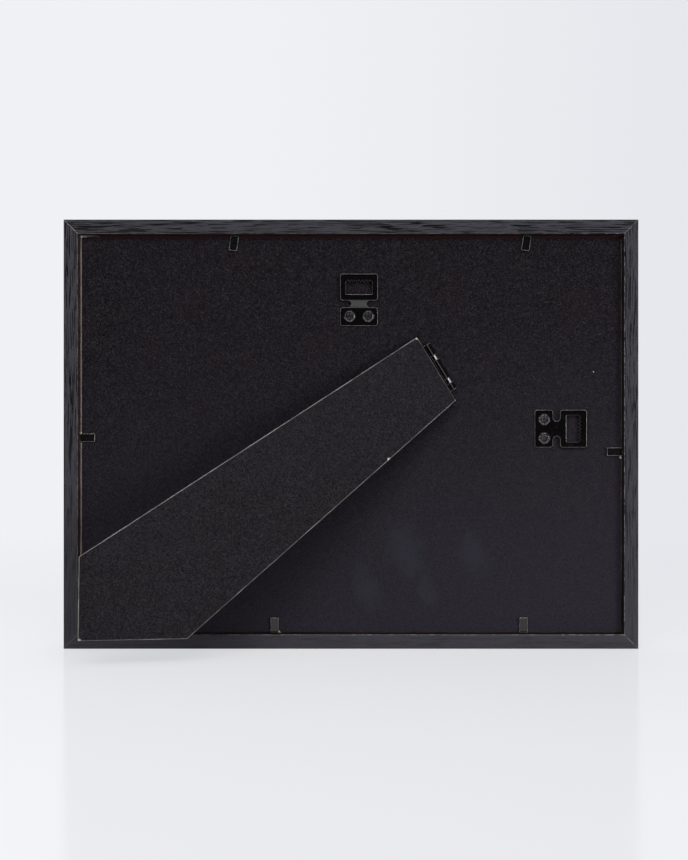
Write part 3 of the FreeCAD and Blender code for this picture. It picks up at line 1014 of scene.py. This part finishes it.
# Section of the strip that leaves a leaf and curls round the pin: pairs of an outer and an inner point
def curledStrip(low):
    middleLine = (hinge["pinRadius"] + hinge["barrelRadius"]) / 2 + hinge["rollOut"]
    half = hinge["sheet"] / 2
    level = low + half
    first, sweep = hinge["lowTurn"] if level < -middleLine else hinge["highTurn"]
    path = [(hinge["near"] + 0.6, level), (hinge["near"], level)]
    for step in range(hinge["turnSteps"] + 1):
        angle = math.radians(first - sweep * step / hinge["turnSteps"])
        path.append((math.cos(angle) * middleLine, math.sin(angle) * middleLine))
    pairs = []
    for index, place in enumerate(path):
        before = Vector(path[max(index - 1, 0)])
        after = Vector(path[min(index + 1, len(path) - 1)])
        run = (after - before).normalized()
        side = Vector((-run.y, run.x)) * half
        pairs.append((Vector(place) + side, Vector(place) - side))
    return pairs


# One knuckle as a closed band along the hinge line, thinner at its two ends
def rolledKnuckle(shape, start, length, low, edge):
    pairs = curledStrip(low)
    trim, small = hinge["rollEdge"], hinge["endShare"]
    stations = [(0, small), (trim, 1.0), (trim * 1.5, 1.0)]
    stations += [(length * share, 1.0) for share in (0.2, 0.4, 0.6, 0.8)]
    stations += [(length - trim * 1.5, 1.0), (length - trim, 1.0), (length, small)]
    rings = []
    for shift, share in stations:
        ring = []
        for outer, inner in pairs:
            middle = (outer + inner) / 2
            for point in (outer, inner):
                x, z = middle + (point - middle) * share
                ring.append(shape.verts.new((x, start + shift, z)))
        rings.append(ring)
    count = len(pairs)
    for number, (first, second) in enumerate(zip(rings, rings[1:])):
        for side in (0, 1):
            for index in range(count - 1):
                a, b = index * 2 + side, index * 2 + 2 + side
                polygon = shape.faces.new((first[a], first[b], second[b], second[a]))
                polygon.smooth = True
                polygon.material_index = edge if number in (0, len(rings) - 2) else 0
        for index in (0, count - 1):
            a, b = index * 2, index * 2 + 1
            shape.faces.new((first[a], first[b], second[b], second[a]))
    for ring in (rings[0], rings[-1]):
        for index in range(count - 1):
            a = index * 2
            polygon = shape.faces.new((ring[a], ring[a + 1], ring[a + 3], ring[a + 2]))
            polygon.material_index = edge


def leafLoop():
    low, high = barrelEnds()
    near, far, corner = hinge["near"], hinge["reach"], hinge["corner"]
    atNear, atCorner = hinge["nearRound"], hinge["cornerRound"]
    return [(near, low, atNear), (far - corner, low, atCorner), (far, low + corner, atCorner),
            (far, high - corner, atCorner), (far - corner, high, atCorner), (near, high, atNear)]


# Three-sided prong that holds a leaf in its board
def addProng(shape, x, y, base, depth):
    half = hinge["prongWidth"] / 2
    corners = [(y - half, base), (y + half, base), (y, base + depth)]
    sides = [[shape.verts.new((x + shift, a, b)) for a, b in corners] for shift in (0, hinge["sheet"])]
    shape.faces.new(sides[0])
    shape.faces.new(sides[1][::-1])
    for index in range(3):
        after = (index + 1) % 3
        shape.faces.new((sides[0][index], sides[1][index], sides[1][after], sides[0][after]))


def makeLeaf(name, spans, low, prongSide, placement, body, node, face, edge):
    mesh = stampedSheet(name, [roundedLoop(leafLoop())], hinge["sheet"], hinge["edgeRadius"], face, edge)
    mesh.materials.append(rollEnd)
    shape = bmesh.new()
    shape.from_mesh(mesh)
    bmesh.ops.translate(shape, verts=shape.verts, vec=(0, 0, low))
    kept = shape.faces[:]
    for start, length in spans:
        rolledKnuckle(shape, start, length, low, 2)
    base = low if prongSide < 0 else low + hinge["sheet"]
    for x, y in hinge["prongs"]:
        addProng(shape, x, y + hinge["offset"], base, prongSide * hinge["prongDepth"])
    bmesh.ops.recalc_face_normals(shape, faces=[p for p in shape.faces if p not in set(kept)])
    shape.to_mesh(mesh)
    shape.free()
    mesh.transform(placement @ toMetres)
    settle(linked(name, mesh), body, node)


# Solid turned about local Y from (radius, place along Y) pairs
def turnedSolid(name, outline, material, steps=48):
    shape = bmesh.new()
    rings = []
    for radius, y in outline:
        if radius == 0:
            rings.append([shape.verts.new((0, y, 0))])
            continue
        ring = []
        for step in range(steps):
            angle = 2 * math.pi * step / steps
            ring.append(shape.verts.new((radius * math.cos(angle), y, radius * math.sin(angle))))
        rings.append(ring)
    for first, second in zip(rings, rings[1:]):
        for step in range(steps):
            after = (step + 1) % steps
            corners = [first[step % len(first)], first[after % len(first)]]
            corners += [second[after % len(second)], second[step % len(second)]]
            polygon = shape.faces.new(list(dict.fromkeys(corners)))
            polygon.smooth = True
    bmesh.ops.recalc_face_normals(shape, faces=shape.faces)
    mesh = bpy.data.meshes.new(name)
    shape.to_mesh(mesh)
    shape.free()
    mesh.materials.append(material)
    return mesh


def makePin(steel):
    low, high = barrelEnds()
    head, thick, shaft = hinge["headRadius"], hinge["headThickness"], hinge["pinRadius"]
    ends = [(head * wide, thick * out) for wide, out in hinge["headShares"]]
    ends += [(head - hinge["headRound"], 0), (shaft, 0), (shaft, -hinge["shaftStart"])]
    outline = [(radius, low - out) for radius, out in ends]
    outline += [(radius, high + out) for radius, out in reversed(ends)]
    mesh = turnedSolid("hinge_pin_dressed", outline, steel)
    mesh.materials.append(enamelFace)
    for polygon in mesh.polygons:  # the heads carry the coat
        polygon.material_index = 0 if low < polygon.center.y < high else 1
    mesh.transform(strutPlace @ toMetres)
    settle(linked("hinge_pin_dressed", mesh), "easel_strut", "hinge_pin")


enamelFace = blackEnamel("black_enamel")
# light edges and knuckle ends: partly wear, partly painted highlight
enamelEdge = wornEdgeAndHighlight("enamel_edge", 70)
rollEnd = wornEdgeAndHighlight("roll_end", 80)
steel = brightSteel("bright_steel")


def makeHinge():
    upper, middle, lower = knuckleSpans()
    makeLeaf("hinge_panel_leaf_dressed", [middle], hinge["panelLeafLow"], -1, hingePlace,
             "frame", "hinge_panel_leaf", enamelFace, enamelEdge)
    makeLeaf("hinge_strut_leaf_dressed", [upper, lower], hinge["strutLeafLow"], 1, strutPlace,
             "easel_strut", "hinge_strut_leaf", enamelFace, enamelEdge)
    makePin(steel)


makeHinge()
print("hinge made")

strutMarks = {
    # Knocks on the strut's outline: (from corner, to corner, share of the way, radius in mm)
    "chips": [("endUpper", "endUpper", 0.0, 1.7), ("footCorner", "footCorner", 0.0, 1.5),
              ("endLower", "footLower", 0.262, 1.2), ("endLower", "endLower", 0.0, 0.7)],
    "crush": 0.5,
    "endReach": (1, 3),  # mm from the hinge end, where the edge is less bare
}


# Corners of the strut's outer face: each is the point that lies farthest its way in the hinge's axes
def strutCorners():
    toLocal = (strutPlace @ toMetres).inverted()
    points = [toLocal @ point.co for point in cad["strut_board"].data.vertices]
    ways = {"endUpper": (-1, -1), "endLower": (-1, 1), "footLower": (0.45, 1), "footCorner": (1, 0.45)}
    toMm = Matrix.Scale(1 / mm, 4) @ strutPlace @ toMetres
    outer = max(point.z for point in points)
    found = {}
    for name, (x, y) in ways.items():
        best = max(points, key=lambda point: point.x * x + point.y * y)
        found[name] = toMm @ Vector((best.x, best.y, outer))
    return found


def makeStrut():
    corners = strutCorners()
    hingeEnd = corners["endUpper"]
    down = (corners["endLower"] - hingeEnd).normalized()
    away = (corners["footCorner"] - hingeEnd)
    away = (away - down * away.dot(down)).normalized()

    def rubbed(tree, spot):
        fromCorner = tree.vector("SUBTRACT", spot, tuple(hingeEnd))
        fromEnd = tree.vector("DOT_PRODUCT", fromCorner, tuple(away))
        return 0.5 + 0.5 * fromEnd.rise(*strutMarks["endReach"])

    chips = []
    for start, end, share, radius in strutMarks["chips"]:
        chips.append((corners[start].lerp(corners[end], share), radius))
    normal = (strutPlace.to_3x3() @ Vector((0, 0, 1))).normalized()
    crushed = [(place, radius * 2, strutMarks["crush"]) for place, radius in chips[:2]]
    paper = facedBoard("strut_paper", boards["strutTones"], boards["strutSpread"], chips)
    edge = cutEdge("strut_edge", *boards["strutEdge"], chips, rubbed)
    strut = paperedBoard("strut_board_dressed", "strut_board", normal, paper, edge, crushed)
    settle(strut, "easel_strut", "strut_board")


makeStrut()
print("strut made")

# Hangers, in their own millimetres: X across, Y from the rivet pad to the window, Z out of the back

hanger = {
    "width": 20.6,
    "sheet": 0.8,
    "rise": 1.4,
    "rivetPad": 10.1,
    "neck": 3.7,
    "neckWidth": 8.4,
    "windowPad": 14.6,
    "corner": 1.4,
    "notchShare": 0.49,
    "sideMargin": 3.0,
    "baseMargin": 3.4,
    "windowHeight": 7.8,
    "chamfer": 1.3,
    "tooth": 1.25,
    "teeth": 6,
    "edgeRadius": 0.24,
    "bendSoftness": 0.14,
    "neckCuts": 14,
    "windowRound": 0.35,
    "rootRound": 0.12,
    "tipRound": 0.14,
    "baseStrip": 0.4,
}


def hangerOutline():
    half = hanger["width"] / 2
    neck = hanger["neckWidth"] / 2
    pad = hanger["rivetPad"]
    neckEnd = pad + hanger["neck"]
    end = neckEnd + hanger["windowPad"]
    notch = hanger["neck"] * hanger["notchShare"]
    right = [(half, 0, hanger["corner"]), (half, pad, hanger["corner"]), (neck, pad, notch),
             (neck, neckEnd, notch), (half, neckEnd, hanger["corner"]), (half, end, hanger["corner"])]
    left = [(-x, y, radius) for x, y, radius in reversed(right)]
    return roundedLoop(right + left)


# The window: half its width, and its sides nearest to the rivets and farthest from them
def windowSides():
    base = hanger["rivetPad"] + hanger["neck"] + hanger["baseMargin"]
    return hanger["width"] / 2 - hanger["sideMargin"], base, base + hanger["windowHeight"]


def windowOutline():
    half, base, far = windowSides()
    cut = far - hanger["chamfer"]
    row = half - hanger["chamfer"]
    pitch = 2 * row / hanger["teeth"]
    points = [(-half, base, hanger["windowRound"]), (half, base, hanger["windowRound"]), (half, cut, 0)]
    for index in range(hanger["teeth"]):
        x = row - index * pitch
        tip = (x - pitch / 2, far - hanger["tooth"], hanger["tipRound"])
        points += [(x, far, hanger["rootRound"]), tip]
    points += [(-row, far, hanger["rootRound"]), (-half, cut, 0)]
    return roundedLoop(points, 3)[::-1]


# Ramp from 0 to 1 with its two bends rounded
def softRamp(share, softness):
    def area(value):
        value = max(value, 0)
        return value * value / 2 if value < 1 else value - 0.5
    return (area(share + softness) - area(share - softness)) / (2 * softness)


def hangerMesh(name, face, edge, inner):
    loops = [hangerOutline(), windowOutline()]
    mesh = stampedSheet(name, loops, hanger["sheet"], hanger["edgeRadius"], face, edge)
    mesh.materials.append(inner)
    half, base, far = windowSides()
    for polygon in mesh.polygons:  # the window's edges have their own finish, apart from its base
        x, y, z = polygon.center
        inWindow = abs(x) < half + 1 and base + hanger["baseStrip"] < y < far + 1
        if polygon.material_index == 1 and inWindow:
            polygon.material_index = 2
    shape = bmesh.new()
    shape.from_mesh(mesh)
    soft = hanger["neck"] * hanger["bendSoftness"]
    low = hanger["rivetPad"] - soft
    high = hanger["rivetPad"] + hanger["neck"] + soft
    for index in range(hanger["neckCuts"] + 1):
        cutAcross(shape, (0, low + (high - low) * index / hanger["neckCuts"], 0), (0, 1, 0))
    for point in shape.verts:
        share = (point.co.y - hanger["rivetPad"]) / hanger["neck"]
        point.co.z += hanger["rise"] * softRamp(share, hanger["bendSoftness"])
    shape.to_mesh(mesh)
    shape.free()
    return mesh


rivet = {
    "spacing": 10.2,
    "inset": 5.3,
    "radius": 3.05,
    "flat": 2.8,
    "height": 0.85,
    "bevel": 0.52,  # share of the height lost at the rim
    "crown": 0.6,  # share of a petal that is flat
    "dimple": 1.0,
    "slit": 0.26,
    "shank": 1.5,
    "flange": 3.0,
    "flangeThickness": 0.5,
    "panel": 3.0,
    "looseTurn": 7.0,  # degrees either way
    "seed": 4,
    "across": 15,  # points over a petal
    "along": 17,
    "crease": 0.6,  # radians between faces
    "bevelPower": 1.1,
    "sink": 0.08,  # share of the height lost at the dimple
    "sinkPower": 8,
    "slitShare": 0.7,
    "coreWidth": 1.1,  # of the dimple
    "coreHeight": 0.9,  # of the head
    "rodSteps": 40,
}


# The four petals of a set rivet, with straight outer edges: a block bent into a quarter, four times
def rivetPetals(tree, given):
    steps = {"Vertices X": rivet["across"], "Vertices Y": rivet["along"], "Vertices Z": 2}
    block = tree.shape("MeshCube", {"Size": (1, 1, 1), **steps})
    side, out, up = tree.split(tree.shape("InputPosition"))
    angle = side * (math.pi / 2)
    share = out + 0.5
    rim = (given["Flat"] / angle.math("COSINE")).atMost(given["Radius"])
    arm = given["Dimple"] + share * (rim - given["Dimple"])
    slope = ((share - given["Crown"]) / (1 - given["Crown"])).atLeast(0.0)
    sunk = rivet["sink"] * (1 - share) ** rivet["sinkPower"]
    crown = 1 - given["Bevel"] * slope ** rivet["bevelPower"] - sunk
    x = arm * angle.math("COSINE") + given["Slit"] * rivet["slitShare"]
    petal = tree.moved(block, x, arm * angle.math("SINE"), (up + 0.5) * given["Height"] * crown)
    petal = tree.shape("SetShadeSmooth", {"Geometry": petal, "Shade Smooth": True}, {"domain": "FACE"})
    sharp = tree.above(tree.shape("InputMeshEdgeAngle"), rivet["crease"])
    creased = {"Geometry": petal, "Selection": sharp, "Shade Smooth": False}
    petal = tree.shape("SetShadeSmooth", creased, {"domain": "EDGE"})
    ring = tree.shape("MeshLine", {"Count": 4, "Offset": (0, 0, 0)})
    quarter = tree.combine(0.0, 0.0, tree.shape("InputIndex") * (math.pi / 2) + math.pi / 4)
    return tree.shape("InstanceOnPoints", {"Points": ring, "Instance": petal, "Rotation": quarter})


# A row of rivets, each with its petals, its shank and its flange, turned a little at random
def rivetTree():
    numbers = ("Spacing", "Inset", "Sheet", "Radius", "Flat", "Height", "Bevel", "Crown", "Dimple", "Slit",
               "Shank", "Flange", "Flange Thickness", "Panel", "Loose Turn")
    tree, given = startShape("petalRivets", numbers, ("Steel",), ("Count", "Seed"))
    lift = tree.combine(0.0, 0.0, given["Sheet"])
    petals = {"Instances": rivetPetals(tree, given), "Translation": lift}
    solids = [tree.shape("TranslateInstances", petals)]
    core = given["Height"] * rivet["coreHeight"]
    rods = [
        (given["Dimple"] * rivet["coreWidth"], core, given["Sheet"] + core / 2),
        (given["Shank"], given["Panel"] + given["Sheet"], (given["Sheet"] - given["Panel"]) / 2),
        (given["Flange"], given["Flange Thickness"], given["Flange Thickness"] / 2 - given["Panel"]),
    ]
    for radius, depth, level in rods:
        rod = tree.shape("MeshCylinder", {"Vertices": rivet["rodSteps"], "Radius": radius, "Depth": depth})
        solids.append(tree.shifted(rod, 0.0, 0.0, level))
    start = tree.combine(given["Spacing"] * (given["Count"] - 1) / -2, given["Inset"], 0.0)
    step = tree.combine(given["Spacing"], 0.0, 0.0)
    row = tree.shape("MeshLine", {"Count": given["Count"], "Start Location": start, "Offset": step})
    turn = {"Min": given["Loose Turn"] * -1, "Max": given["Loose Turn"], "Seed": given["Seed"]}
    turn = tree.node("FunctionNodeRandomValue", {"data_type": "FLOAT"}, turn) * (math.pi / 180)
    rivets = {"Points": row, "Instance": tree.join(*solids), "Rotation": tree.combine(0.0, 0.0, turn)}
    dressed = endShape(tree, tree.shape("InstanceOnPoints", rivets), given["Steel"])
    tree.node("NodeGroupOutput", {}, {"Geometry": dressed})
    return tree


def makeHangers():
    rivetSteel = mottledSteel("rivet_steel", *steels["rivet"], 0.92, 0.16, 0.15)
    windowEdge = wornEdgeAndHighlight("window_edge", 34)
    tree = rivetTree()
    values = asInputs(rivet, Count=2, Sheet=hanger["sheet"], Steel=rivetSteel)
    topLow, topHigh = boxInMm("hanger_plate_top")
    sideLow, sideHigh = boxInMm("hanger_plate_side")
    places = {
        "top": (Vector(((topLow.x + topHigh.x) / 2, panelBack, topLow.z)), Vector((0, 0, 1))),
        "side": (Vector((sideLow.x, panelBack, (sideLow.z + sideHigh.z) / 2)), Vector((1, 0, 0))),
    }
    for number, (name, (origin, along)) in enumerate(places.items()):
        placement = onBack(origin * mm, along)
        mesh = hangerMesh("hanger_plate_" + name + "_dressed", enamelFace, enamelEdge, windowEdge)
        mesh.transform(placement @ toMetres)
        plate = linked(mesh.name, mesh)
        settle(plate, "frame", "hanger_plate_" + name)
        given = dict(values, Seed=rivet["seed"] + number)
        pair = runShape("hanger_rivets_" + name + "_dressed", tree, given, placement)
        settle(pair, "frame", "hanger_rivets_" + name)


makeHangers()
print("hangers made")

# Bendable tabs, in their own millimetres: X along the bend line, Y in from the wall, Z out of the back

tab = {
    "width": 4.5,
    "sheet": 0.5,
    "corner": 0.6,
    "steps": 8,
    "edgeRadius": 0.24,
    "edgeSteps": 2,
    "edgeAngle": 40,  # degrees between faces
    "weld": 0.001,
}


def tabTree():
    numbers = ("Width", "Length", "Sheet", "Corner", "Rest Angle")
    tree, given = startShape("bendableTab", numbers, ("Steel",))
    strip = tree.shape("CurvePrimitiveQuadrilateral", {"Width": given["Width"], "Height": given["Length"]})
    y = tree.split(tree.shape("InputPosition"))[1]
    atTip = y.rise(-tab["weld"], tab["weld"])  # only the free end has round corners
    strip = tree.rounded(strip, tab["steps"], atTip * given["Corner"])
    face = tree.shape("FillCurve", {"Curve": strip}, {"mode": "NGONS"})
    up = {"Mesh": face, "Offset": (0, 0, 1), "Offset Scale": given["Sheet"], "Individual": False}
    top = tree.shape("ExtrudeMesh", up, {"mode": "FACES"})
    sheet = tree.join(top, tree.shape("FlipFaces", {"Mesh": face}))
    closed = tree.shape("MergeByDistance", {"Geometry": sheet, "Distance": tab["weld"]})
    laid = tree.shifted(closed, 0.0, given["Length"] / 2, given["Sheet"] / -2)
    raised = {"Geometry": laid, "Rotation": tree.combine(given["Rest Angle"], 0.0, 0.0)}
    dressed = endShape(tree, tree.shape("Transform", raised), given["Steel"])
    tree.node("NodeGroupOutput", {}, {"Geometry": dressed})
    return tree


def makeTabs():
    face = mottledSteel("tab_steel", *steels["tab"], 0.0, 0.03, 0.12)
    edge = wornEdgeAndHighlight("tab_edge", 86)
    tree = tabTree()
    for name, joint in joints.items():
        if not name.startswith("tab_"):
            continue
        node = joint["child"]
        along = outward.cross(Vector(joint["axis"]))
        placement = onBack(Vector(joint["pos_m"]), along)
        toLocal = (placement @ toMetres).inverted()
        length = max((toLocal @ point.co).y for point in cad[node].data.vertices)
        rest = math.radians(-joint["range_deg"][0])
        values = {
            "Width": tab["width"], "Length": length / math.cos(rest), "Sheet": tab["sheet"],
            "Corner": tab["corner"], "Rest Angle": rest, "Steel": face,
        }
        rounding = tab["edgeRadius"], tab["edgeSteps"], tab["edgeAngle"]
        piece = runShape(node + "_dressed", tree, values, placement, *rounding)
        piece.data.materials.clear()
        piece.data.materials.append(face)
        piece.data.materials.append(edge)
        flat = placement.to_3x3() @ Matrix.Rotation(rest, 3, "X") @ Vector((0, 0, 1))
        for polygon in piece.data.polygons:
            polygon.material_index = 0 if abs(polygon.normal.dot(flat)) > 0.97 else 1
        settle(piece, node, node)


makeTabs()
print("tabs made")

# CAD pieces that keep their shape


def dressNode(node, material):
    cad[node].data.materials.clear()
    cad[node].data.materials.append(material)


dressNode("glass_pane", clearGlass("clear_glass"))
dressNode("mat_board", mountCard("mount_card"))
dressNode("insert_sheet", blankPaper("blank_paper"))
dressNode("corner_v_nails", mottledSteel("nail_steel", *steels["nail"], 1.0, 0.35))
rootSteel = mottledSteel("root_steel", *steels["root"], 0.6, 0.3)
for node in cad:
    if node.startswith("tab_root_"):
        dressNode(node, rootSteel)
print("carried pieces dressed")

# Camera, light and floor

view = {
    "width": 688,  # pixels of the picture
    "height": 860,
    "distance": 1300,  # pixels from the lens to the back of the rails
    "middleX": 351,  # pixel column of the middle of the frame
    "floorRow": 648.9,  # pixel row of the lower back edge
    "pixel": 0.546,  # mm at the back of the rails
}


def makeCamera():
    data = bpy.data.cameras.new("camera")
    camera = bpy.data.objects.new("camera", data)
    scene.collection.objects.link(camera)
    x = (view["width"] / 2 - view["middleX"]) * view["pixel"]
    y = -frameDepth / 2 - view["distance"] * view["pixel"]
    z = (view["floorRow"] - view["height"] / 2) * view["pixel"]
    camera.location = Vector((x, y, z)) * mm
    camera.rotation_euler = (math.pi / 2, 0, 0)
    data.lens = data.sensor_width / 2 * view["distance"] / (view["height"] / 2)
    data.clip_end = 50
    scene.camera = camera


studio = {
    "pale": shown(240, 241, 244),
    # darker to the right: painted shade on the backdrop
    "paleRight": shown(228, 229, 235),
    "darkSide": 0.04,  # the unlit end of the room, behind the camera
    "backSide": 0.15,
    "overhead": 0.45,
    "overheadMirrored": 0.2,
    "floorRadius": 2.2,  # metres
    "floorGlow": 0.725,
    "floorBounce": 0.04,  # the glow that lights the pieces
    "floorColour": 0.36,
    "keySize": (2.4, 0.8),
    "keyPlace": (0.05, -1.9, 1.6),
    "keyPower": 25.0,
    "sideSize": (0.7, 0.7),
    "leftPlace": (-1.35, -1.73, 0.6),
    "leftPower": 4.5,
    "rightPlace": (1.5, -1.5, 0.3),
    "rightPower": 16.0,
    "rimPlace": (0.0, 1.0, 1.4),
    "rimSize": (1.8, 0.6),
    "rimPower": 1.0,
    # Where the room's tones turn, as directions, and the floor's, in mm
    "paleAcross": (-0.15, 0.4),
    "backRise": (-0.1, 0.75),
    "overheadRise": (0.25, 0.9),
    "mirroredRise": (0.3, 0.9),
    "seenRise": (0.1, 0.7),
    "cool": 1.03,  # more blue in the room's light
    "floorAcross": (-200, 400),
    "floorFade": (350, 900),
    "floorRoughness": 0.5,
    "sheenShare": 0.08,
    "sheenRoughness": 0.12,
    "floorGap": 0.0002,  # metres under the frame
}


def makeWorld():
    world = bpy.data.worlds.new("studio")
    world.use_nodes = True
    world.node_tree.nodes.clear()
    tree = Tree(world.node_tree)
    x, y, z = tree.split(tree.node("ShaderNodeTexCoord").out("Generated"))
    # the room seen darker to the right: painted shade on the backdrop
    pale = tree.mix(x.rise(*studio["paleAcross"]), studio["pale"], studio["paleRight"])
    level = studio["darkSide"] + y.rise(*studio["backRise"]) * studio["backSide"]
    level = level + z.rise(*studio["overheadRise"]) * studio["overhead"]
    room = tree.combine(level, level, level * studio["cool"])
    rays = tree.node("ShaderNodeLightPath")
    glossy = rays.out("Is Glossy Ray")
    mirrored = studio["darkSide"] + z.rise(*studio["mirroredRise"]) * studio["overheadMirrored"]
    room = tree.mix(glossy, room, tree.combine(mirrored, mirrored, mirrored))
    seen = rays.out("Is Camera Ray").atLeast(rays.out("Is Transmission Ray"))
    seen = seen.atLeast(glossy * y.rise(*studio["seenRise"]))
    colour = tree.mix(seen, room, pale)
    glow = tree.node("ShaderNodeBackground", {}, {"Color": colour, "Strength": 1.0})
    tree.node("ShaderNodeOutputWorld", {}, {"Surface": glow})
    scene.world = world


def makeFloor():
    material, tree, spot = newMaterial("studio_floor")
    x = tree.split(spot)[0]
    # the floor seen darker to the right: painted shade
    pale = tree.mix(x.rise(*studio["floorAcross"]), studio["pale"], studio["paleRight"])
    rays = tree.node("ShaderNodeLightPath")
    surface = tree.node("ShaderNodeBsdfPrincipled", {}, {
        "Base Color": grey(studio["floorColour"]),
        "Roughness": studio["floorRoughness"],
        "Specular IOR Level": 0.0,
    })
    seen = rays.out("Is Camera Ray").atLeast(rays.out("Is Glossy Ray"))
    seen = seen.atLeast(rays.out("Is Transmission Ray"))
    strength = studio["floorBounce"] + seen * (studio["floorGlow"] - studio["floorBounce"])
    glow = tree.node("ShaderNodeEmission", {}, {"Color": pale, "Strength": strength})
    lit = tree.node("ShaderNodeAddShader", {}, {0: surface, 1: glow})
    mirror = {"Color": grey(1.0), "Roughness": studio["sheenRoughness"]}
    sheen = tree.node("ShaderNodeBsdfGlossy", {}, mirror)
    lit = tree.node("ShaderNodeMixShader", {}, {0: studio["sheenShare"], 1: lit, 2: sheen})
    fade = tree.vector("LENGTH", spot).rise(*studio["floorFade"]) * rays.out("Is Camera Ray")
    clear = tree.node("ShaderNodeBsdfTransparent")
    surface = tree.node("ShaderNodeMixShader", {}, {0: fade, 1: lit, 2: clear})
    tree.node("ShaderNodeOutputMaterial", {}, {"Surface": surface})
    shape = bmesh.new()
    bmesh.ops.create_circle(shape, cap_ends=True, segments=96, radius=studio["floorRadius"])
    mesh = bpy.data.meshes.new("floor")
    shape.to_mesh(mesh)
    shape.free()
    mesh.materials.append(material)
    mesh.transform(Matrix.Translation((0, 0, -studio["floorGap"])))
    linked("floor", mesh)


def makeLamp(name, place, size, power, target):
    data = bpy.data.lights.new(name, "AREA")
    data.shape = "RECTANGLE"
    data.size, data.size_y = size
    data.energy = power
    lamp = bpy.data.objects.new(name, data)
    scene.collection.objects.link(lamp)
    lamp.location = place
    lamp.rotation_euler = (Vector(target) - Vector(place)).to_track_quat("-Z", "Y").to_euler()


makeCamera()
makeWorld()
makeFloor()
middle = (0, 0, middleZ * mm)
makeLamp("key", studio["keyPlace"], studio["keySize"], studio["keyPower"], middle)
makeLamp("left", studio["leftPlace"], studio["sideSize"], studio["leftPower"], middle)
makeLamp("right", studio["rightPlace"], studio["sideSize"], studio["rightPower"], middle)
makeLamp("rim", studio["rimPlace"], studio["rimSize"], studio["rimPower"], middle)
scene.view_settings.view_transform = "Standard"
print("studio ready")
